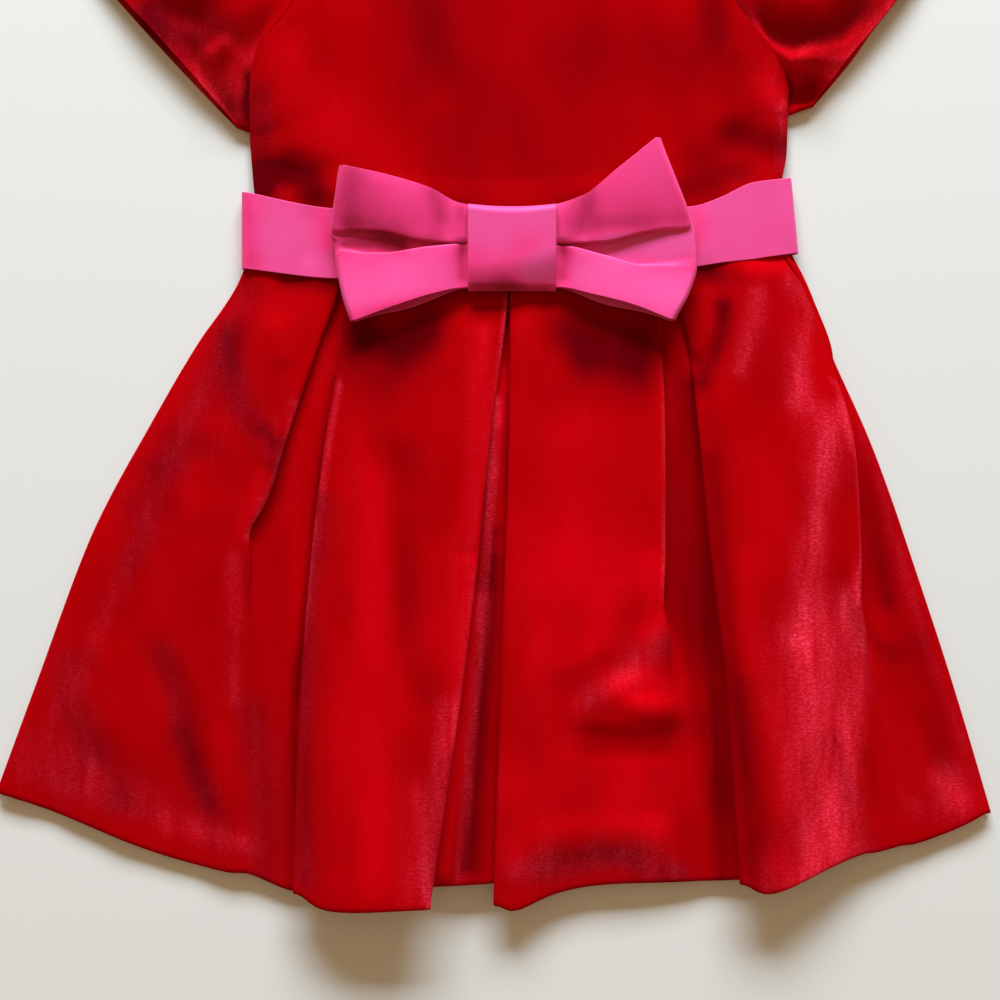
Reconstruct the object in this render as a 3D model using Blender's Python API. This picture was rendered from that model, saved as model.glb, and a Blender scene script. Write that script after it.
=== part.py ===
"""Toddler party dress, laid flat on its back.

A velvet bodice with short puffed sleeves, a velvet skirt with three inverted box pleats, and a satin sash
that goes all round the waist and carries a bow. +X is to the right of someone who looks down at the front,
+Y is towards the neck and +Z is up, off the surface that the dress lies on. The origin is in the middle of
the dress, on that surface. All sizes are in millimetres until new_piece() turns them into metres.

Each piece is a sheet: a grid of points halfway through the cloth, which a Solidify modifier makes a wall of.
"""

import math
from collections import namedtuple

import bmesh
import bpy

METRE = 0.001

# ---- cloth ----
VELVET = 1.2  # wall of the velvet, with its pile
SATIN = 1.0  # wall of the doubled satin ribbon
GAP = 0.3  # between pieces that are sewn or lie together
BACK_Z = VELVET / 2  # the back lies on the surface
SEAM_Z = 2.1  # height at which front and back meet along a side or shoulder seam
FRONT_SEAM_Z = SEAM_Z + (VELVET + GAP) / 2
BACK_SEAM_Z = SEAM_Z - (VELVET + GAP) / 2
SIDE_Z = 3.6  # height of the front just inside those seams
SEAM_ROUND = 3.0  # how far in from a seam the cloth has its full height
WAIST_GAP = 0.5  # between bodice and skirt, along the waist seam

# ---- waist and sash ----
WAIST_X = (-126, -80, 0, 60, 103, 128, 152)
WAIST_Y = (65, 60, 56, 59, 65, 70, 72.5)
SASH_LEFT = -126.0
SASH_RIGHT = 149.4
SASH_SLANT = 3.6  # how much further right the sash's right side is at its lower edge than at its upper edge
SASH_SLANT_FROM = 100.0
SASH_FLAT_FROM = 3.0  # the sash starts to turn round a side this far in from it
SASH_TURN = ((0.6, 6.0), (0.0, 3.8), (0.6, 1.5))  # distance in from the side and height, front to back
SASH_X = (-126, -80, 0, 60, 99, 112, 130, 150)
SASH_Y = (63.8, 58.5, 55, 57.5, 61, 63.2, 67.6, 70.6)
SASH_WIDTH = (38.6, 33.8, 33, 31, 30, 32, 37.8, 38)
SASH_FRONT_X = (-126, -110, -80, 95, 130, 149)
SASH_FRONT_Z = (7.0, 8.4, 9.2, 9.2, 8.6, 7.4)
SASH_LIFT = SATIN + GAP  # how far the sash's back lifts the dress
SASH_REACH = 22.0  # the lift is whole this far from the waist line
SASH_FADE = 14.0  # and gone this much further on

# ---- skirt: levels down from the waist, and a row for each fold ----
WAIST_LEVEL_Y = 60.0
LEVELS = (0, 20, 50, 100, 150, 220, 325)
PLEAT_GAP = (2.2, 2.2, 2.5, 2.8, 3.0, 3.2, 3.2)  # between the layers of a pleat
UNDERLAY_Z = (3.4, 3.4, 2.7, 2.6, 2.6, 2.8, 2.8)
FOLD_SOFT = 4.0
SKIRT_STATIONS = (
    0, 0.035, 0.07, 0.115, 0.17, 0.23, 0.29, 0.36, 0.43, 0.5, 0.57, 0.64, 0.71, 0.78, 0.855, 0.93, 1,
)

# kind: side; between or underlay, where x is a share of the way between the edge rows on either side; ridge;
# right_edge, the right end of a panel, tucked back to the left; or left_edge.
# A tuck below zero is a fold that has opened out into a slope that wide.
Row = namedtuple("Row", "name kind x lift hem tuck inner_hem soft", defaults=(None, None, FOLD_SOFT))
FLAT_SIDE = (SIDE_Z,) * 7
SKIRT_ROWS = (
    Row("left side", "side", (-119, -126.3, -146.3, -175.5, -201.5, -227.5, -266), FLAT_SIDE, -215),
    Row("outer left, outside", "between", 0.3, (6.4, 6.6, 8, 10, 10.5, 11.5, 10.5), -231),
    Row("outer left, inside", "between", 0.68, (7.5, 7.6, 12, 14, 13, 14.5, 12.5), -246),
    Row(
        "outer left, pleat edge", "right_edge",
        (-74, -76, -84, -101, -122.5, -127, -125), (7.6, 7.8, 10, 13, 9, 10, 11), -254,
        (24, 24, 24, 20, 3, -16, -26), -262,
    ),
    Row("left pleat", "underlay", 0.5, UNDERLAY_Z, -262),
    Row(
        "centre left, left edge", "left_edge",
        (-72, -73, -75, -83, -89, -94.5, -98), (7.6, 7.8, 10.3, 13, 15, 16, 17), -267.5,
        (24, 24, 24, 24, 24, 23, 22), -261,
    ),
    Row("centre left", "between", 0.45, (7.6, 7.6, 11.5, 15, 16, 17, 19), -270.5),
    Row(
        "centre left, right edge", "right_edge",
        (7, 7, 4.5, -2, -7, -15.5, -31), (7.6, 7.8, 11, 15, 17, 19, 20), -268.5,
        (24, 25, 26, 27, 28, 28, 28), -262,
    ),
    Row(
        "centre pleat crease", "ridge",
        (7.5, 7.5, 5.5, 2, -3, -8.5, -15.5), (3.4, 3.4, 5, 8, 9, 10, 11), -260.5,
    ),
    Row(
        "centre right, left edge", "left_edge",
        (8, 8, 8, 7.5, 6, 3.5, 1.5), (7.6, 7.8, 11, 16, 18, 20, 21), -270,
        (24, 25, 26, 27, 28, 28, 28), -257,
    ),
    Row("centre right, inside", "between", 0.35, (7.6, 7.6, 12, 18, 18, 13, 15), -263),
    Row("centre right, outside", "between", 0.7, (7.6, 7.6, 12, 17, 17, 10, 10), -259),
    Row(
        "centre right, right edge", "right_edge",
        (86, 84, 83, 84, 84, 81, 79.5), (7.6, 7.8, 10.5, 15, 16, 12, 9), -258.5,
        (24, 24, 22, 19, 14, -14, -26), -258,
    ),
    Row("right pleat", "underlay", 0.5, UNDERLAY_Z, -257),
    Row(
        "outer right, left edge", "left_edge",
        (88, 88.5, 94, 100.5, 105.5, 114, 123.5), (7.4, 7.6, 9, 14, 17, 20, 18), -261,
        (24, 24, 26, 27, 28, 28, 26), -256,
    ),
    Row("outer right, inside", "between", 0.33, (7.4, 7.8, 15, 20, 21, 22, 19), -258),
    Row("outer right, outside", "between", 0.66, (6.6, 7.8, 14, 20, 20, 18, 15), -249),
    Row(
        "outer right, right edge", "right_edge",
        (129, 136, 157, 175.5, 180.5, 181.5, 188), (6, 7, 10, 14, 14, 11, 9), -242,
        (-6, -5, 3, 11, 8, -10, -22), -238, 2.2,
    ),
    Row("right side fold", "between", 0.6, (4, 4, 4.4, 5, 5, 6, 5), -231),
    Row("right side", "side", (146, 153, 165.3, 187, 205, 228, 259), FLAT_SIDE, -222.5),
)
BACK_HEM_DROP = 34.0  # how far the back hem dips below a straight line between the side seams
BACK_STATIONS = (0, 0.035, 0.07, 0.115, 0.2, 0.35, 0.5, 0.65, 0.8, 0.9, 1)
BACK_COLUMNS = 20

# ---- bodice ----
CENTRE_X = 10.0
NECK_HALF = 62.0
NECK_TOP_Y = 270.0
NECK_CURVE = 0.7
FRONT_NECK_DROP = 60.0
BACK_NECK_DROP = 20.0
SHOULDER_TIP_Y = 256.0
UNDERARM_Y = {-1: 114.0, 1: 122.5}
# the side seam and the armhole above it, from the waist to the tip of the shoulder
EDGE_Y = {
    -1: (62, 82, 98, 114, 130, 143, 155, 171, 180, 200, 228, 256),
    1: (68, 82, 105, 122.5, 134, 141, 150, 160, 172, 185, 222, 256),
}
EDGE_X = {
    -1: (-118, -119, -120.6, -121.6, -121.6, -120.5, -117, -104, -98, -94, -96, -102),
    1: (143.5, 144, 145.5, 146.3, 146.4, 145, 141, 134, 124, 116, 115, 122),
}
BODICE_CROWN = 4.0  # how far the middle of the front stands above its sides
CROWN_AT_WAIST = 0.35  # and how much of that is left along the waist seam
CROWN_AT_TOP = 0.25  # and along the neck
ARMHOLE_FADE = 20.0  # the front and back part over this width, inside the armhole
ROWS_TO_UNDERARM = 6
ROWS_OF_ARMHOLE = 12
LAST_ROW = ROWS_TO_UNDERARM + ROWS_OF_ARMHOLE
BODICE_ROWS = (*range(LAST_ROW), LAST_ROW - 0.25, LAST_ROW)
SHOULDER_STEPS = 4
NECK_STEPS = 12
SLIT_BOTTOM_Y = 168.0  # the back opening runs from here to the neck
SLIT_TOP_HALF = 1.4
BUTTON_Y = 243.0
BUTTON_RADIUS = 5.5
BUTTON_SIDES = 24
BUTTON_PROFILE = ((0.6, 2.4), (0.9, 2.05), (1.0, 1.5), (1.0, 0.5), (0.92, 0.0))  # share of radius, height
BUTTON_LIFT = 2.7  # how far the back is lifted over the button
BUTTON_LIFT_TO = 22.0  # and how far from the button's middle that reaches

# ---- sleeves ----
ARMHOLE_GAP = 0.5
SLEEVE_MID_Z = 2.1  # height of the folds at the underarm and the top, where the front turns into the back
Sleeve = namedtuple("Sleeve", "name side under_hem top_hem bulge puff hem_lift")
SLEEVES = (
    Sleeve("sleeve_left", -1, (-127.8, 116.4), (-202, 197), 13, 12, 3.5),
    Sleeve("sleeve_right", 1, (158.8, 127), (223.5, 208), 14, 16, 5),
)
SLEEVE_BACK_LONGER = 2.2  # how far the back layer shows past the hem
SLEEVE_BULGE_X = 0.6
SLEEVE_BULGE_Y = 0.8
SLEEVE_RINGS = 6
FOLD_SHARES = (0.0, 0.3, 1.0)  # where the points of those folds are, as shares of SEAM_ROUND

# ---- bow: rows from the ribbon's top edge to its bottom edge, stops from its left end to its right end ----
KNOT_X = 8.9
KNOT_Y = 54.0
KNOT_WIDTH = 43.0
KNOT_HEIGHT = 43.0
KNOT_BACK_Z = 10.5
KNOT_FRONT_Z = 20.6
KNOT_FLAT_FROM = 2.5  # the band starts to turn under this far from its top and bottom
KNOT_TURN = ((0.5, 0.84), (0.0, 0.6), (0.0, 0.4), (0.5, 0.12))  # distance in, share of the height
BOW_STOPS = (-1, -0.62, -0.32, 0, 0.32, 0.62, 1)
BOW_BACK_Z = (12.0, 12.4, 14.0)  # top edge, middle and bottom edge of the layer that lies on the dress
BOW_TURN = 2.6  # how far the ribbon runs out where it turns back at the end of a loop
BOW_PLEAT_GAP = 1.8
BOW_SOFT = 2.0
BOW_SECTIONS = (-1, -0.87, -0.73, -0.59, -0.45, -0.32, 0, 0.32, 0.45, 0.59, 0.73, 0.87, 1)
BowRow = namedtuple("BowRow", "name kind y z left_end right_end tuck", defaults=(None,))
BOW_ROWS = (
    BowRow(
        "top edge", "ridge", (94.5, 88, 73.5, 73.5, 73.5, 91, 107.5), (14, 15.5, 15, 15, 15, 16, 15), -76, 81
    ),
    BowRow(
        "upper lobe", "ridge", (79, 73.5, 66, 66, 66, 76, 86), (17.5, 20, 18, 18, 18, 22, 21), -78, 88
    ),
    BowRow(
        "upper fold", "right_edge", (68, 61, 58.4, 58.4, 58.4, 59.6, 64),
        (17.5, 19.5, 18.3, 18.3, 18.3, 20.5, 18.5), -79.5, 96, (-4, 5, 8, 8, 8, 6, -4),
    ),
    BowRow(
        "valley", "ridge", (59.2, 57, 57.3, 57.3, 57.3, 54.5, 54),
        (15, 14.3, 14.3, 14.3, 14.3, 14.3, 15.5), -78, 98,
    ),
    BowRow(
        "lower fold", "left_edge", (50.4, 53.2, 56.3, 56.3, 56.3, 50, 44.5),
        (17.5, 19, 18.3, 18.3, 18.3, 19.5, 18.5), -77, 99, (-4, 5, 8, 8, 8, 5, -4),
    ),
    BowRow(
        "lower lobe", "ridge", (36, 40, 42.5, 42.5, 42.5, 38, 32), (18, 19.5, 18, 18, 18, 20.5, 20), -74, 95
    ),
    BowRow(
        "bottom edge", "ridge", (16.5, 27, 34.6, 34.6, 34.6, 28, 19),
        (16.5, 17, 16, 16, 16, 17.5, 17.5), -70, 88.5,
    ),
)
VALLEY = BOW_ROWS[3]


# ---- curves ----
def lerp(a, b, share):
    return a + (b - a) * share


def smoothstep(low, high, value):
    share = min(1.0, max(0.0, (value - low) / (high - low)))
    return share * share * (3 - 2 * share)


def curve_through(stops, values, at):
    """A smooth curve through the values at the stops that never overshoots them, read at one place."""
    if at <= stops[0]:
        return values[0]
    if at >= stops[-1]:
        return values[-1]
    k = max(i for i, stop in enumerate(stops) if stop <= at)

    def slope(i):
        if i == 0 or i == len(stops) - 1:
            j = min(i, len(stops) - 2)
            return (values[j + 1] - values[j]) / (stops[j + 1] - stops[j])
        before = (values[i] - values[i - 1]) / (stops[i] - stops[i - 1])
        after = (values[i + 1] - values[i]) / (stops[i + 1] - stops[i])
        return 0.0 if before * after <= 0 else 2 * before * after / (before + after)

    span = stops[k + 1] - stops[k]
    s = (at - stops[k]) / span
    return (
        (2 * s**3 - 3 * s**2 + 1) * values[k]
        + (s**3 - 2 * s**2 + s) * span * slope(k)
        + (3 * s**2 - 2 * s**3) * values[k + 1]
        + (s**3 - s**2) * span * slope(k + 1)
    )


def spline(controls):
    """The points of a cubic B-spline nearest its control points, with both ends kept."""
    middle = [
        tuple((a + 4 * b + c) / 6 for a, b, c in zip(*controls[i - 1 : i + 2]))
        for i in range(1, len(controls) - 1)
    ]
    return [controls[0], *middle, controls[-1]]


# ---- heights ----
def waist_y(x):
    return curve_through(WAIST_X, WAIST_Y, x)


def sash_lift(x, y):
    """The lift where the dress lies over the back of the sash."""
    away = abs(y - waist_y(x))
    return SASH_LIFT * (1 - smoothstep(SASH_REACH, SASH_REACH + SASH_FADE, away))


def button_lift(x, y):
    """The lift where the back lies over the button."""
    away = math.hypot(x - CENTRE_X, y - BUTTON_Y)
    return BUTTON_LIFT * (1 - smoothstep(BUTTON_RADIUS + 1.5, BUTTON_LIFT_TO, away))


def seam_round(distance):
    """0 at a seam, rising on a quarter circle to 1 at SEAM_ROUND from it."""
    inside = min(1.0, distance / SEAM_ROUND)
    return math.sqrt(1 - (1 - inside) ** 2)


# ---- pleats, shared by the skirt and the bow ----
def fold_controls(across, lift, tuck, gap, low, soft, turn):
    """Eight control points of a fold, from the panel to the underlay, as (across, height, is inner fold).

    The panel folds under at `across`, runs back by `tuck` and folds again on to the underlay at `low`.
    turn is 1 where the panel's end is at its greater `across`, and -1 where it is at the lesser.
    """
    shut = smoothstep(-2 * soft, 2 * soft, tuck)
    drop = lift - low
    open_offsets = (-1.5 * soft, -0.5 * soft, 0.5 * soft, 1.5 * soft)
    edge_offsets = [lerp(a, b, shut) for a, b in zip(open_offsets, (-soft, 0, 0, -soft))]
    inner_offsets = [lerp(a, b, shut) for a, b in zip(open_offsets, (soft, 0, 0, soft))]
    edge_drops = (0, 0, lerp(0.12 * drop, gap, shut), lerp(0.35 * drop, gap, shut))
    inner_rises = (lerp(0.35 * drop, gap, shut), lerp(0.12 * drop, gap, shut), 0, 0)
    edge = [(across + turn * offset, lift - down, False) for offset, down in zip(edge_offsets, edge_drops)]
    inside = across - turn * tuck
    inner = [(inside + turn * offset, low + up, True) for offset, up in zip(inner_offsets, inner_rises)]
    return (edge + inner)[::turn]


# ---- skirt ----
def edge_controls(row, level):
    """Control points of a side, a ridge or a pleat's edge at one level, left to right, as (x, z, hem)."""
    x = curve_through(LEVELS, row.x, level)
    z = curve_through(LEVELS, row.lift, level)
    if row.kind == "ridge":
        return [(x, z, row.hem)]
    if row.kind == "side":
        inward = 1 if x < 0 else -1
        return [(x, FRONT_SEAM_Z, row.hem), (x + inward * SEAM_ROUND, z, row.hem)][::inward]
    low = curve_through(LEVELS, UNDERLAY_Z, level)
    gap = curve_through(LEVELS, PLEAT_GAP, level)
    tuck = curve_through(LEVELS, row.tuck, level)
    turn = 1 if row.kind == "right_edge" else -1
    folded = fold_controls(x, z, tuck, gap, low, row.soft, turn)
    return [(across, height, row.inner_hem if inner else row.hem) for across, height, inner in folded]


def skirt_controls(level):
    """All the control points of the skirt front at one level, left to right, as (x, z, hem)."""
    placed_between = ("between", "underlay")
    found = [None if row.kind in placed_between else edge_controls(row, level) for row in SKIRT_ROWS]
    controls = []
    for i, row in enumerate(SKIRT_ROWS):
        if found[i]:
            controls += found[i]
            continue
        start = next(part for part in found[i::-1] if part)[-1][0]
        end = next(part for part in found[i:] if part)[0][0]
        controls.append((lerp(start, end, row.x), curve_through(LEVELS, row.lift, level), row.hem))
    return controls


def skirt_front_line(t):
    """The skirt front's section at one station. t is 0 at the waist and 1 at the hem."""
    controls = []
    for i, (waist_x, _, hem) in enumerate(skirt_controls(0)):
        y = lerp(waist_y(waist_x) - WAIST_GAP, hem, t)
        x, z, _ = skirt_controls(WAIST_LEVEL_Y - y)[i]
        controls.append((x, y, z))
    line = spline(controls)
    raised = [(x, y, z + sash_lift(x, y)) for x, y, z in line[:2] + line[-2:]]
    return raised[:2] + line[2:-2] + raised[2:]


def skirt_back_line(t):
    left, right = SKIRT_ROWS[0], SKIRT_ROWS[-1]
    points = []
    for share in [0, *(i / BACK_COLUMNS for i in range(BACK_COLUMNS + 1)), 1]:
        hem = lerp(left.hem, right.hem, share) - BACK_HEM_DROP * math.sin(math.pi * share)
        y = lerp(waist_y(lerp(left.x[0], right.x[0], share)) - WAIST_GAP, hem, t)
        ends = [
            curve_through(LEVELS, side.x, WAIST_LEVEL_Y - lerp(waist_y(side.x[0]) - WAIST_GAP, side.hem, t))
            for side in (left, right)
        ]
        x = lerp(*ends, share)
        at_seam = len(points) in (0, BACK_COLUMNS + 2)
        if not at_seam:
            x = min(max(x, ends[0] + SEAM_ROUND), ends[1] - SEAM_ROUND)
        points.append((x, y, (BACK_SEAM_Z if at_seam else BACK_Z) + sash_lift(x, y)))
    return points


# ---- bodice ----
def edge_x(side, y):
    """The side seam and the armhole at height y. side is -1 for the left and 1 for the right."""
    return curve_through(EDGE_Y[side], EDGE_X[side], y)


def edge_y(side, row):
    """Where a row of the bodice meets its side. Row 0 is the waist, and the last one the shoulder's tip."""
    if row <= ROWS_TO_UNDERARM:
        return lerp(waist_y(EDGE_X[side][0]), UNDERARM_Y[side], row / ROWS_TO_UNDERARM)
    return lerp(UNDERARM_Y[side], SHOULDER_TIP_Y, (row - ROWS_TO_UNDERARM) / ROWS_OF_ARMHOLE)


def armhole_open(side, y):
    """0 at the underarm and at the tip of the shoulder, where front and back meet, and 1 between."""
    share = (y - UNDERARM_Y[side]) / (SHOULDER_TIP_Y - UNDERARM_Y[side])
    return math.sin(math.pi * min(1.0, max(0.0, share))) ** 0.5


def bodice_columns():
    """The bodice's columns, left to right, as (share of its width, least distance in from the side).

    They divide one shoulder, the neck and the other shoulder, and the middle one is on the centre line.
    """
    left, right = EDGE_X[-1][-1], EDGE_X[1][-1]
    neck = [CENTRE_X - NECK_HALF * math.cos(math.pi * i / NECK_STEPS) for i in range(NECK_STEPS + 1)]
    left_shoulder = [lerp(left, neck[0], i / SHOULDER_STEPS) for i in range(SHOULDER_STEPS)]
    right_shoulder = [lerp(right, neck[-1], i / SHOULDER_STEPS) for i in range(SHOULDER_STEPS)]
    along_top = left_shoulder + neck + right_shoulder[::-1]
    inside = [((x - left) / (right - left), SEAM_ROUND) for x in along_top]
    return [(0.0, 0.0), *inside, (1.0, 0.0)]


def bodice_top(share, neck_drop):
    """The top edge at a share of the bodice's width, as (y, distance below the shoulder seam)."""
    tips = EDGE_X[-1][-1], EDGE_X[1][-1]
    x = lerp(*tips, share)
    across = abs(x - CENTRE_X)
    if across < NECK_HALF:
        down = neck_drop * (1 - (across / NECK_HALF) ** 2) ** NECK_CURVE
        return NECK_TOP_Y - down, down
    tip = tips[0] if x < CENTRE_X else tips[1]
    along_shoulder = (across - NECK_HALF) / (abs(tip - CENTRE_X) - NECK_HALF)
    return lerp(NECK_TOP_Y, SHOULDER_TIP_Y, along_shoulder), 0.0


def bodice_point(share, inset, row, neck_drop):
    """A point of the bodice as (x, y, opened): 0 where front and back are sewn together, 1 well inside."""
    sides = (-1, 1)
    ends_y = [edge_y(side, row) for side in sides]
    ends_x = [edge_x(side, y) for side, y in zip(sides, ends_y)]
    waist_ends = [EDGE_X[side][0] for side in sides]
    risen = [(y - waist_y(x)) / (SHOULDER_TIP_Y - waist_y(x)) for x, y in zip(waist_ends, ends_y)]
    top, below_seam = bodice_top(share, neck_drop)
    y = lerp(waist_y(lerp(*waist_ends, share)), top, lerp(*risen, share))
    x = min(max(lerp(*ends_x, share), ends_x[0] + inset), ends_x[1] - inset)
    near = 0 if share < 0.5 else 1
    reach = ARMHOLE_FADE if row > ROWS_TO_UNDERARM else SEAM_ROUND
    opened = max(armhole_open(sides[near], ends_y[near]), smoothstep(0, reach, abs(x - ends_x[near])))
    if row == LAST_ROW:
        opened *= smoothstep(0, neck_drop / 4, below_seam)
    return x, y, opened


def bodice_front_grid():
    grid = []
    for row in BODICE_ROWS:
        above_waist = lerp(CROWN_AT_WAIST, 1, smoothstep(0, 4, row))
        below_neck = lerp(1, CROWN_AT_TOP, smoothstep(LAST_ROW / 2, LAST_ROW, row))
        line = []
        for share, inset in bodice_columns():
            x, y, opened = bodice_point(share, inset, row, FRONT_NECK_DROP)
            crown = BODICE_CROWN * min(above_waist, below_neck) * math.sin(math.pi * share) ** 0.7
            line.append((x, y, lerp(FRONT_SEAM_Z, SIDE_Z + crown, opened) + sash_lift(x, y)))
        grid.append(line)
    return grid


def bodice_back_grid(side):
    """One half of the back, between its side seam and the centre line, where the halves part at the slit."""
    columns = bodice_columns()
    middle = len(columns) // 2
    columns = columns[: middle + 1] if side < 0 else columns[middle:]
    centre = middle if side < 0 else 0
    grid = []
    for row in BODICE_ROWS:
        line = []
        for j, (share, inset) in enumerate(columns):
            x, y, opened = bodice_point(share, inset, row, BACK_NECK_DROP)
            if j == centre:
                x = CENTRE_X + side * (GAP / 2 + SLIT_TOP_HALF * smoothstep(SLIT_BOTTOM_Y, NECK_TOP_Y, y))
            line.append((x, y, lerp(BACK_SEAM_Z, BACK_Z, opened) + sash_lift(x, y) + button_lift(x, y)))
        grid.append(line)
    return grid


# ---- sleeves ----
def armhole(side):
    """The sleeve's edge at the armhole, just outside the bodice's, from underarm to shoulder tip."""
    rows = range(ROWS_TO_UNDERARM, LAST_ROW + 1)
    edge = [(edge_x(side, edge_y(side, row)), edge_y(side, row)) for row in rows]
    moved = []
    for i, (x, y) in enumerate(edge):
        before, after = edge[max(i - 1, 0)], edge[min(i + 1, len(edge) - 1)]
        out = outward(side, before, after)
        moved.append((x + out[0] * ARMHOLE_GAP, y + out[1] * ARMHOLE_GAP))
    return moved


def outward(side, start, end):
    """The unit vector across the line from start to end, away from the bodice."""
    run = math.dist(start, end)
    return side * (end[1] - start[1]) / run, -side * (end[0] - start[0]) / run


def along_line(points, share):
    place = share * (len(points) - 1)
    k = min(int(place), len(points) - 2)
    return tuple(lerp(a, b, place - k) for a, b in zip(points[k], points[k + 1]))


def sleeve_point(sleeve, inner, q, r, front):
    """A point of the sleeve: q runs from the underarm to the top fold, and r from the armhole to the hem."""
    hem = [lerp(a, b, q) for a, b in zip(sleeve.under_hem, sleeve.top_hem)]
    x, y = (lerp(a, b, r) for a, b in zip(along_line(inner, q), hem))
    across = math.sin(math.pi * q)
    bulge = sleeve.bulge * 4 * r * (1 - r) * q**1.5
    longer = 0.0 if front else SLEEVE_BACK_LONGER * r * across**0.5
    out = outward(sleeve.side, sleeve.under_hem, sleeve.top_hem)
    x += sleeve.side * bulge * SLEEVE_BULGE_X + out[0] * longer
    y += bulge * SLEEVE_BULGE_Y + out[1] * longer
    puff = sleeve.puff * math.sin(math.pi * min(1.0, r * 1.15)) * math.sin(math.pi * q**1.3)
    layer_z = SIDE_Z + sleeve.hem_lift * r * across + puff if front else BACK_Z
    from_fold = min(q, 1 - q) * math.dist(inner[0], inner[-1])
    return x, y, lerp(SLEEVE_MID_Z, layer_z, seam_round(from_fold))


def sleeve_grid(sleeve):
    """Closed rings from the armhole to the hem: up the front from the underarm, and back down behind."""
    inner = armhole(sleeve.side)
    length = math.dist(inner[0], inner[-1])
    fold = [share * SEAM_ROUND / length for share in FOLD_SHARES]
    steps = fold + [i / ROWS_OF_ARMHOLE for i in range(1, ROWS_OF_ARMHOLE)] + [1 - q for q in fold[::-1]]
    grid = []
    for i in range(SLEEVE_RINGS + 1):
        r = i / SLEEVE_RINGS
        front = [sleeve_point(sleeve, inner, q, r, True) for q in steps]
        back = [sleeve_point(sleeve, inner, q, r, False) for q in steps[::-1]]
        grid.append(front + back[1:-1])
    return grid


# ---- sash ----
def sash_loop(front_steps=22, back_steps=12):
    """The sash's path as (x, z): across the front, round the right, under the back and round the left."""
    low, high = SASH_LEFT + SASH_FLAT_FROM, SASH_RIGHT - SASH_FLAT_FROM
    front_x = [lerp(low, high, i / front_steps) for i in range(front_steps + 1)]
    front = [(x, curve_through(SASH_FRONT_X, SASH_FRONT_Z, x)) for x in front_x]
    right = [(SASH_RIGHT - inward, z) for inward, z in SASH_TURN]
    back = [(lerp(high, low, i / back_steps), SATIN / 2) for i in range(back_steps + 1)]
    left = [(SASH_LEFT + inward, z) for inward, z in SASH_TURN[::-1]]
    return front + right + back + left


def sash_grid(steps=4):
    grid = []
    for i in range(steps + 1):
        across = i / steps - 0.5
        line = []
        for x, z in sash_loop():
            slant = -SASH_SLANT * across * smoothstep(SASH_SLANT_FROM, SASH_RIGHT, x)
            y = curve_through(SASH_X, SASH_Y, x) + across * curve_through(SASH_X, SASH_WIDTH, x)
            line.append((x + slant, y, z))
        grid.append(line)
    return grid


# ---- bow ----
def bow_controls(stop):
    """The front ribbon's control points at one place along the bow, from its top edge to its bottom edge."""
    low = curve_through(BOW_STOPS, VALLEY.z, stop)
    controls = []
    for row in BOW_ROWS:
        x = bow_reach(row, stop)
        y = curve_through(BOW_STOPS, row.y, stop)
        z = curve_through(BOW_STOPS, row.z, stop)
        if row.kind == "ridge":
            controls.append((x, y, z))
            continue
        tuck = curve_through(BOW_STOPS, row.tuck, stop)
        turn = 1 if row.kind == "right_edge" else -1
        folded = fold_controls(-y, z, tuck, BOW_PLEAT_GAP, low, BOW_SOFT, turn)
        controls += [(x, -down, height) for down, height, _ in folded]
    return controls


def bow_reach(row, stop):
    end = row.left_end if stop < 0 else row.right_end
    return lerp(KNOT_X, end - math.copysign(BOW_TURN, stop), abs(stop))


def bow_section(stop, back):
    """The ribbon across its width at one place along the bow, in the front layer or the back layer."""
    controls = bow_controls(stop)
    if not back:
        return spline(controls)
    downs = [-curve_through(BOW_STOPS, row.y, stop) for row in BOW_ROWS]
    reaches = [bow_reach(row, stop) for row in BOW_ROWS]
    behind = []
    for i in range(len(controls)):
        share = i / (len(controls) - 1)
        y = lerp(controls[0][1], controls[-1][1], share)
        x = curve_through(downs, reaches, -y)
        behind.append((x, y, curve_through((0, 0.5, 1), BOW_BACK_Z, share)))
    return behind


def bow_turn(stop, steps=3):
    """The sections round the end of a loop, from the front layer to the back layer."""
    front, back = bow_section(stop, False), bow_section(stop, True)
    reach = math.copysign(BOW_TURN, stop)
    sections = []
    for i in range(1, steps + 1):
        angle = math.pi * i / (steps + 1)
        share = (1 - math.cos(angle)) / 2
        sections.append([
            (lerp(ax, bx, share) + reach * math.sin(angle), lerp(ay, by, share), lerp(az, bz, share))
            for (ax, ay, az), (bx, by, bz) in zip(front, back)
        ])
    return sections


def bow_grid():
    """Sections all round the loop of ribbon: the front, left to right, and the back, right to left."""
    front = [bow_section(stop, False) for stop in BOW_SECTIONS]
    back = [bow_section(stop, True) for stop in BOW_SECTIONS[::-1]]
    rings = front + bow_turn(1) + back + bow_turn(-1)[::-1]
    return [[ring[j] for ring in rings] for j in range(len(rings[0]))]


def knot_grid(columns=4, front_steps=8, back_steps=4):
    """The band round the middle of the bow."""
    top, bottom = KNOT_Y + KNOT_HEIGHT / 2, KNOT_Y - KNOT_HEIGHT / 2
    low, high = bottom + KNOT_FLAT_FROM, top - KNOT_FLAT_FROM
    front = [(lerp(low, high, i / front_steps), KNOT_FRONT_Z) for i in range(front_steps + 1)]
    turn = [(inward, lerp(KNOT_BACK_Z, KNOT_FRONT_Z, share)) for inward, share in KNOT_TURN]
    over_top = [(top - inward, z) for inward, z in turn]
    back = [(lerp(high, low, i / back_steps), KNOT_BACK_Z) for i in range(back_steps + 1)]
    under = [(bottom + inward, z) for inward, z in turn[::-1]]
    loop = front + over_top + back + under
    half = KNOT_WIDTH / 2
    return [[(KNOT_X + lerp(-half, half, i / columns), y, z) for y, z in loop] for i in range(columns + 1)]


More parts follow.
